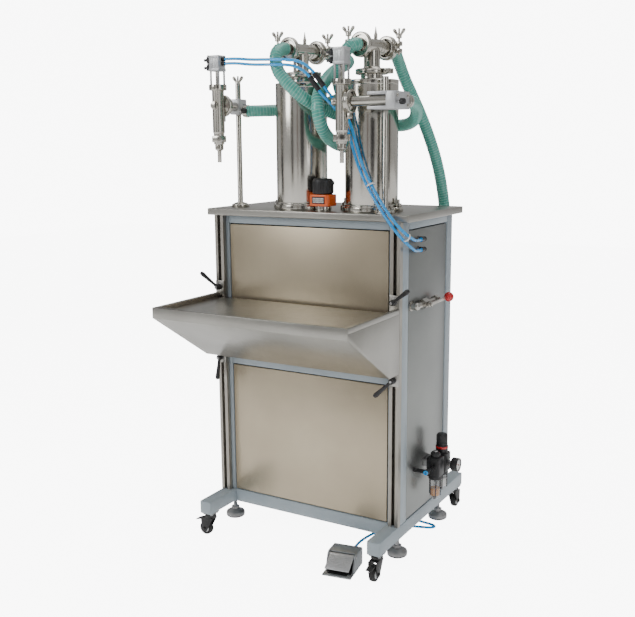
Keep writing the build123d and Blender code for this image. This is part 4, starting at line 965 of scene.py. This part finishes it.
def makePedal():
    spec = Sizes(w=84.0, d=106.0)
    w, d = spec.w, spec.d
    base = Shape("pedalBase", castZinc, darkPrintAndPaintedShade, brightZinc, place=pedalTurn)
    base.box(0, w, 0, d, 0, 6, 2.4)
    for x0, x1 in ((0, 6), (w - 6, w)):
        base.slab([(x0, 28, 5), (x0, 44, 46), (x0, 54, 52), (x0, d - 2, 50), (x0, d, 44), (x0, d, 5)],
                  (x1 - x0, 0, 0), 1.6)
    base.slab([(1, 56, 46), (1, 56, 52), (1, d - 3, 51), (1, d, 46), (1, d, 4), (1, d - 5, 4), (1, d - 5, 45)],
              (w - 2, 0, 0), 1.2)
    # Slot 1 lines the inside walls and floor of the pedal base in near-black: painted shade in the hollow.
    base.box(6, w - 6, d - 6, d - 4, 6, 46, 0, mat=1)
    base.box(6.2, w - 6.2, 8, d - 6, 5.8, 6.4, 0, mat=1)
    for x in (6, w - 6.4):
        base.slab([(x, 30, 6), (x, 45, 44), (x, d - 6, 44), (x, d - 6, 6)], (0.4, 0, 0), 0, mat=1)
    base.bar((-1, 50, 42), (w + 1, 50, 42), 3, mat=2)
    base.along((w / 2, d - 1, 18), (w / 2, d + 12, 18), [(0, 0), (9, 0), (9, 5), (7, 6), (7, 13), (0, 13)], mat=2)
    for x in (10, w - 10):
        base.post(x, 12, [(0, 5.8), (5, 5.8), (5, 7.4), (2.5, 8), (0, 8)], mat=2)
    base.done("cast_grey", "pedal_base")
    treadle = Shape("pedalTreadle", aluminium, place=pedalTurn)
    treadle.bar((7, 50, 42), (w - 7, 50, 42), 6)
    treadle.slab([(7, 50, 48), (7, 50, 43), (7, 4, 19), (7, 2, 23)], (w - 14, 0, 0), 1)
    for k in range(8):
        y = 6 + k * 5
        z = 23.3 + (y - 2) * 25 / 48
        treadle.bar((12, y, z), (w - 12, y, z), 1.1, steps=8)
    treadle.done("cast_grey", "pedal_treadle", body="treadle")


def makeInner():
    carry(polished, "piston_assembly", "stop_plate")
    carry(aluminium, "drive_cylinder")


# ---------------------------------------------------------------- studio
def flatPiece(name, corners, material):
    mesh = bpy.data.meshes.new(name)
    mesh.from_pydata(corners, [], [tuple(range(len(corners)))])
    mesh.materials.append(material)
    piece = added(name, mesh)
    return piece


def makeStudio():
    world = bpy.data.worlds.new("studio")
    bpy.context.scene.world = world
    world.use_nodes = True
    background = world.node_tree.nodes["Background"]
    background.inputs["Color"].default_value = (1, 1, 1, 1)
    background.inputs["Strength"].default_value = 0.5
    white = surface("studioWhite", (0.95, 0.95, 0.95), (0.94, 0.94, 0.94), (0.6, 0.7), variation=0.1, glow=0.6)
    bright = surface("backdropWhite", (1, 1, 1), (1, 1, 1), (0.9, 1.0), glow=8.0)
    reach, high = 8, 9
    square = [(-1, -1), (1, -1), (1, 1), (-1, 1)]
    corners = [(reach, reach), (-reach, reach), (-reach, -reach), (reach, -reach)]
    bounce = flatPiece("bounceFloor", [(high * x, high * y, -0.004) for x, y in square], white)
    bounce.visible_camera = False
    walls = [flatPiece(f"backdrop{k}", [(*near, -0.1), (*far, -0.1), (*far, high), (*near, high)], bright)
             for k, (near, far) in enumerate(zip(corners, corners[1:] + corners[:1]))]
    walls.append(flatPiece("studioFloor", [(high * x, high * y, -0.002) for x, y in square], bright))
    for wall in walls:
        wall.visible_diffuse = False
        wall.visible_glossy = False
        wall.visible_shadow = False
        wall.visible_transmission = False
    lights = {
        "key": Sizes(spot=(-1.8, -2.8, 2.6), size=(1.2, 1.8), power=46),
        "fill": Sizes(spot=(2.8, -1.6, 1.8), size=(0.7, 2.2), power=12),
        "top": Sizes(spot=(0.2, 0.4, 3.4), size=(1.8, 1.8), power=24),
    }
    for name, spec in lights.items():
        data = bpy.data.lights.new(name + "Light", "AREA")
        data.shape = "RECTANGLE"
        data.size, data.size_y = spec.size
        data.energy = spec.power
        lamp = added(name + "Light", data)
        lamp.location = spec.spot
        lamp.rotation_euler = (Vector((0, 0, 0.8)) - lamp.location).to_track_quat("-Z", "Y").to_euler()
    cards = {
        "cardLeft": (-3.6, -1.4, 1.0, (0.03, 0.03, 0.03)), "cardFront": (-1.0, -4.2, 0.8, (0.05, 0.045, 0.04)),
        "cardMiddle": (0.9, -4.4, 0.35, (0.16, 0.10, 0.08)), "cardNear": (2.4, -3.8, 1.3, (0.03, 0.03, 0.032)),
        "cardRight": (4.0, -1.2, 1.3, (0.05, 0.05, 0.05)), "cardSide": (4.2, 1.2, 1.0, (0.08, 0.07, 0.06)),
        "cardBack": (-3.4, 2.2, 1.4, (0.06, 0.06, 0.06)),
    }
    for name, (x, y, wide, colour) in cards.items():
        ahead = Vector((-x, -y, 0)).normalized()
        side = Vector((-ahead.y, ahead.x, 0)) * wide / 2
        foot, rise = Vector((x, y, 0.1)), Vector((0, 0, 2.8))
        board = flatPiece(name, [foot - side, foot + side, foot + side + rise, foot - side + rise],
                          surface(name, colour, colour, (0.8, 0.9)))
        board.visible_camera = False
        board.visible_shadow = False


for stageName, make in (
    ("camera", makeCamera), ("cords", makeCords), ("frame", makeFrame), ("panels", makePanels), ("table", makeTable),
    ("tray", makeTray), ("levers", makeLevers), ("casters", makeCasters), ("feet", makeFeet), ("barrels", makeBarrels),
    ("valves", makeValves), ("indicator", makeIndicator), ("stands", makeStands), ("air service", makeAirService),
    ("hand valve", makeHandValve), ("air fittings", makeAirFittings), ("pedal", makePedal), ("inner", makeInner),
    ("studio", makeStudio),
):
    make()
    print("made", stageName)
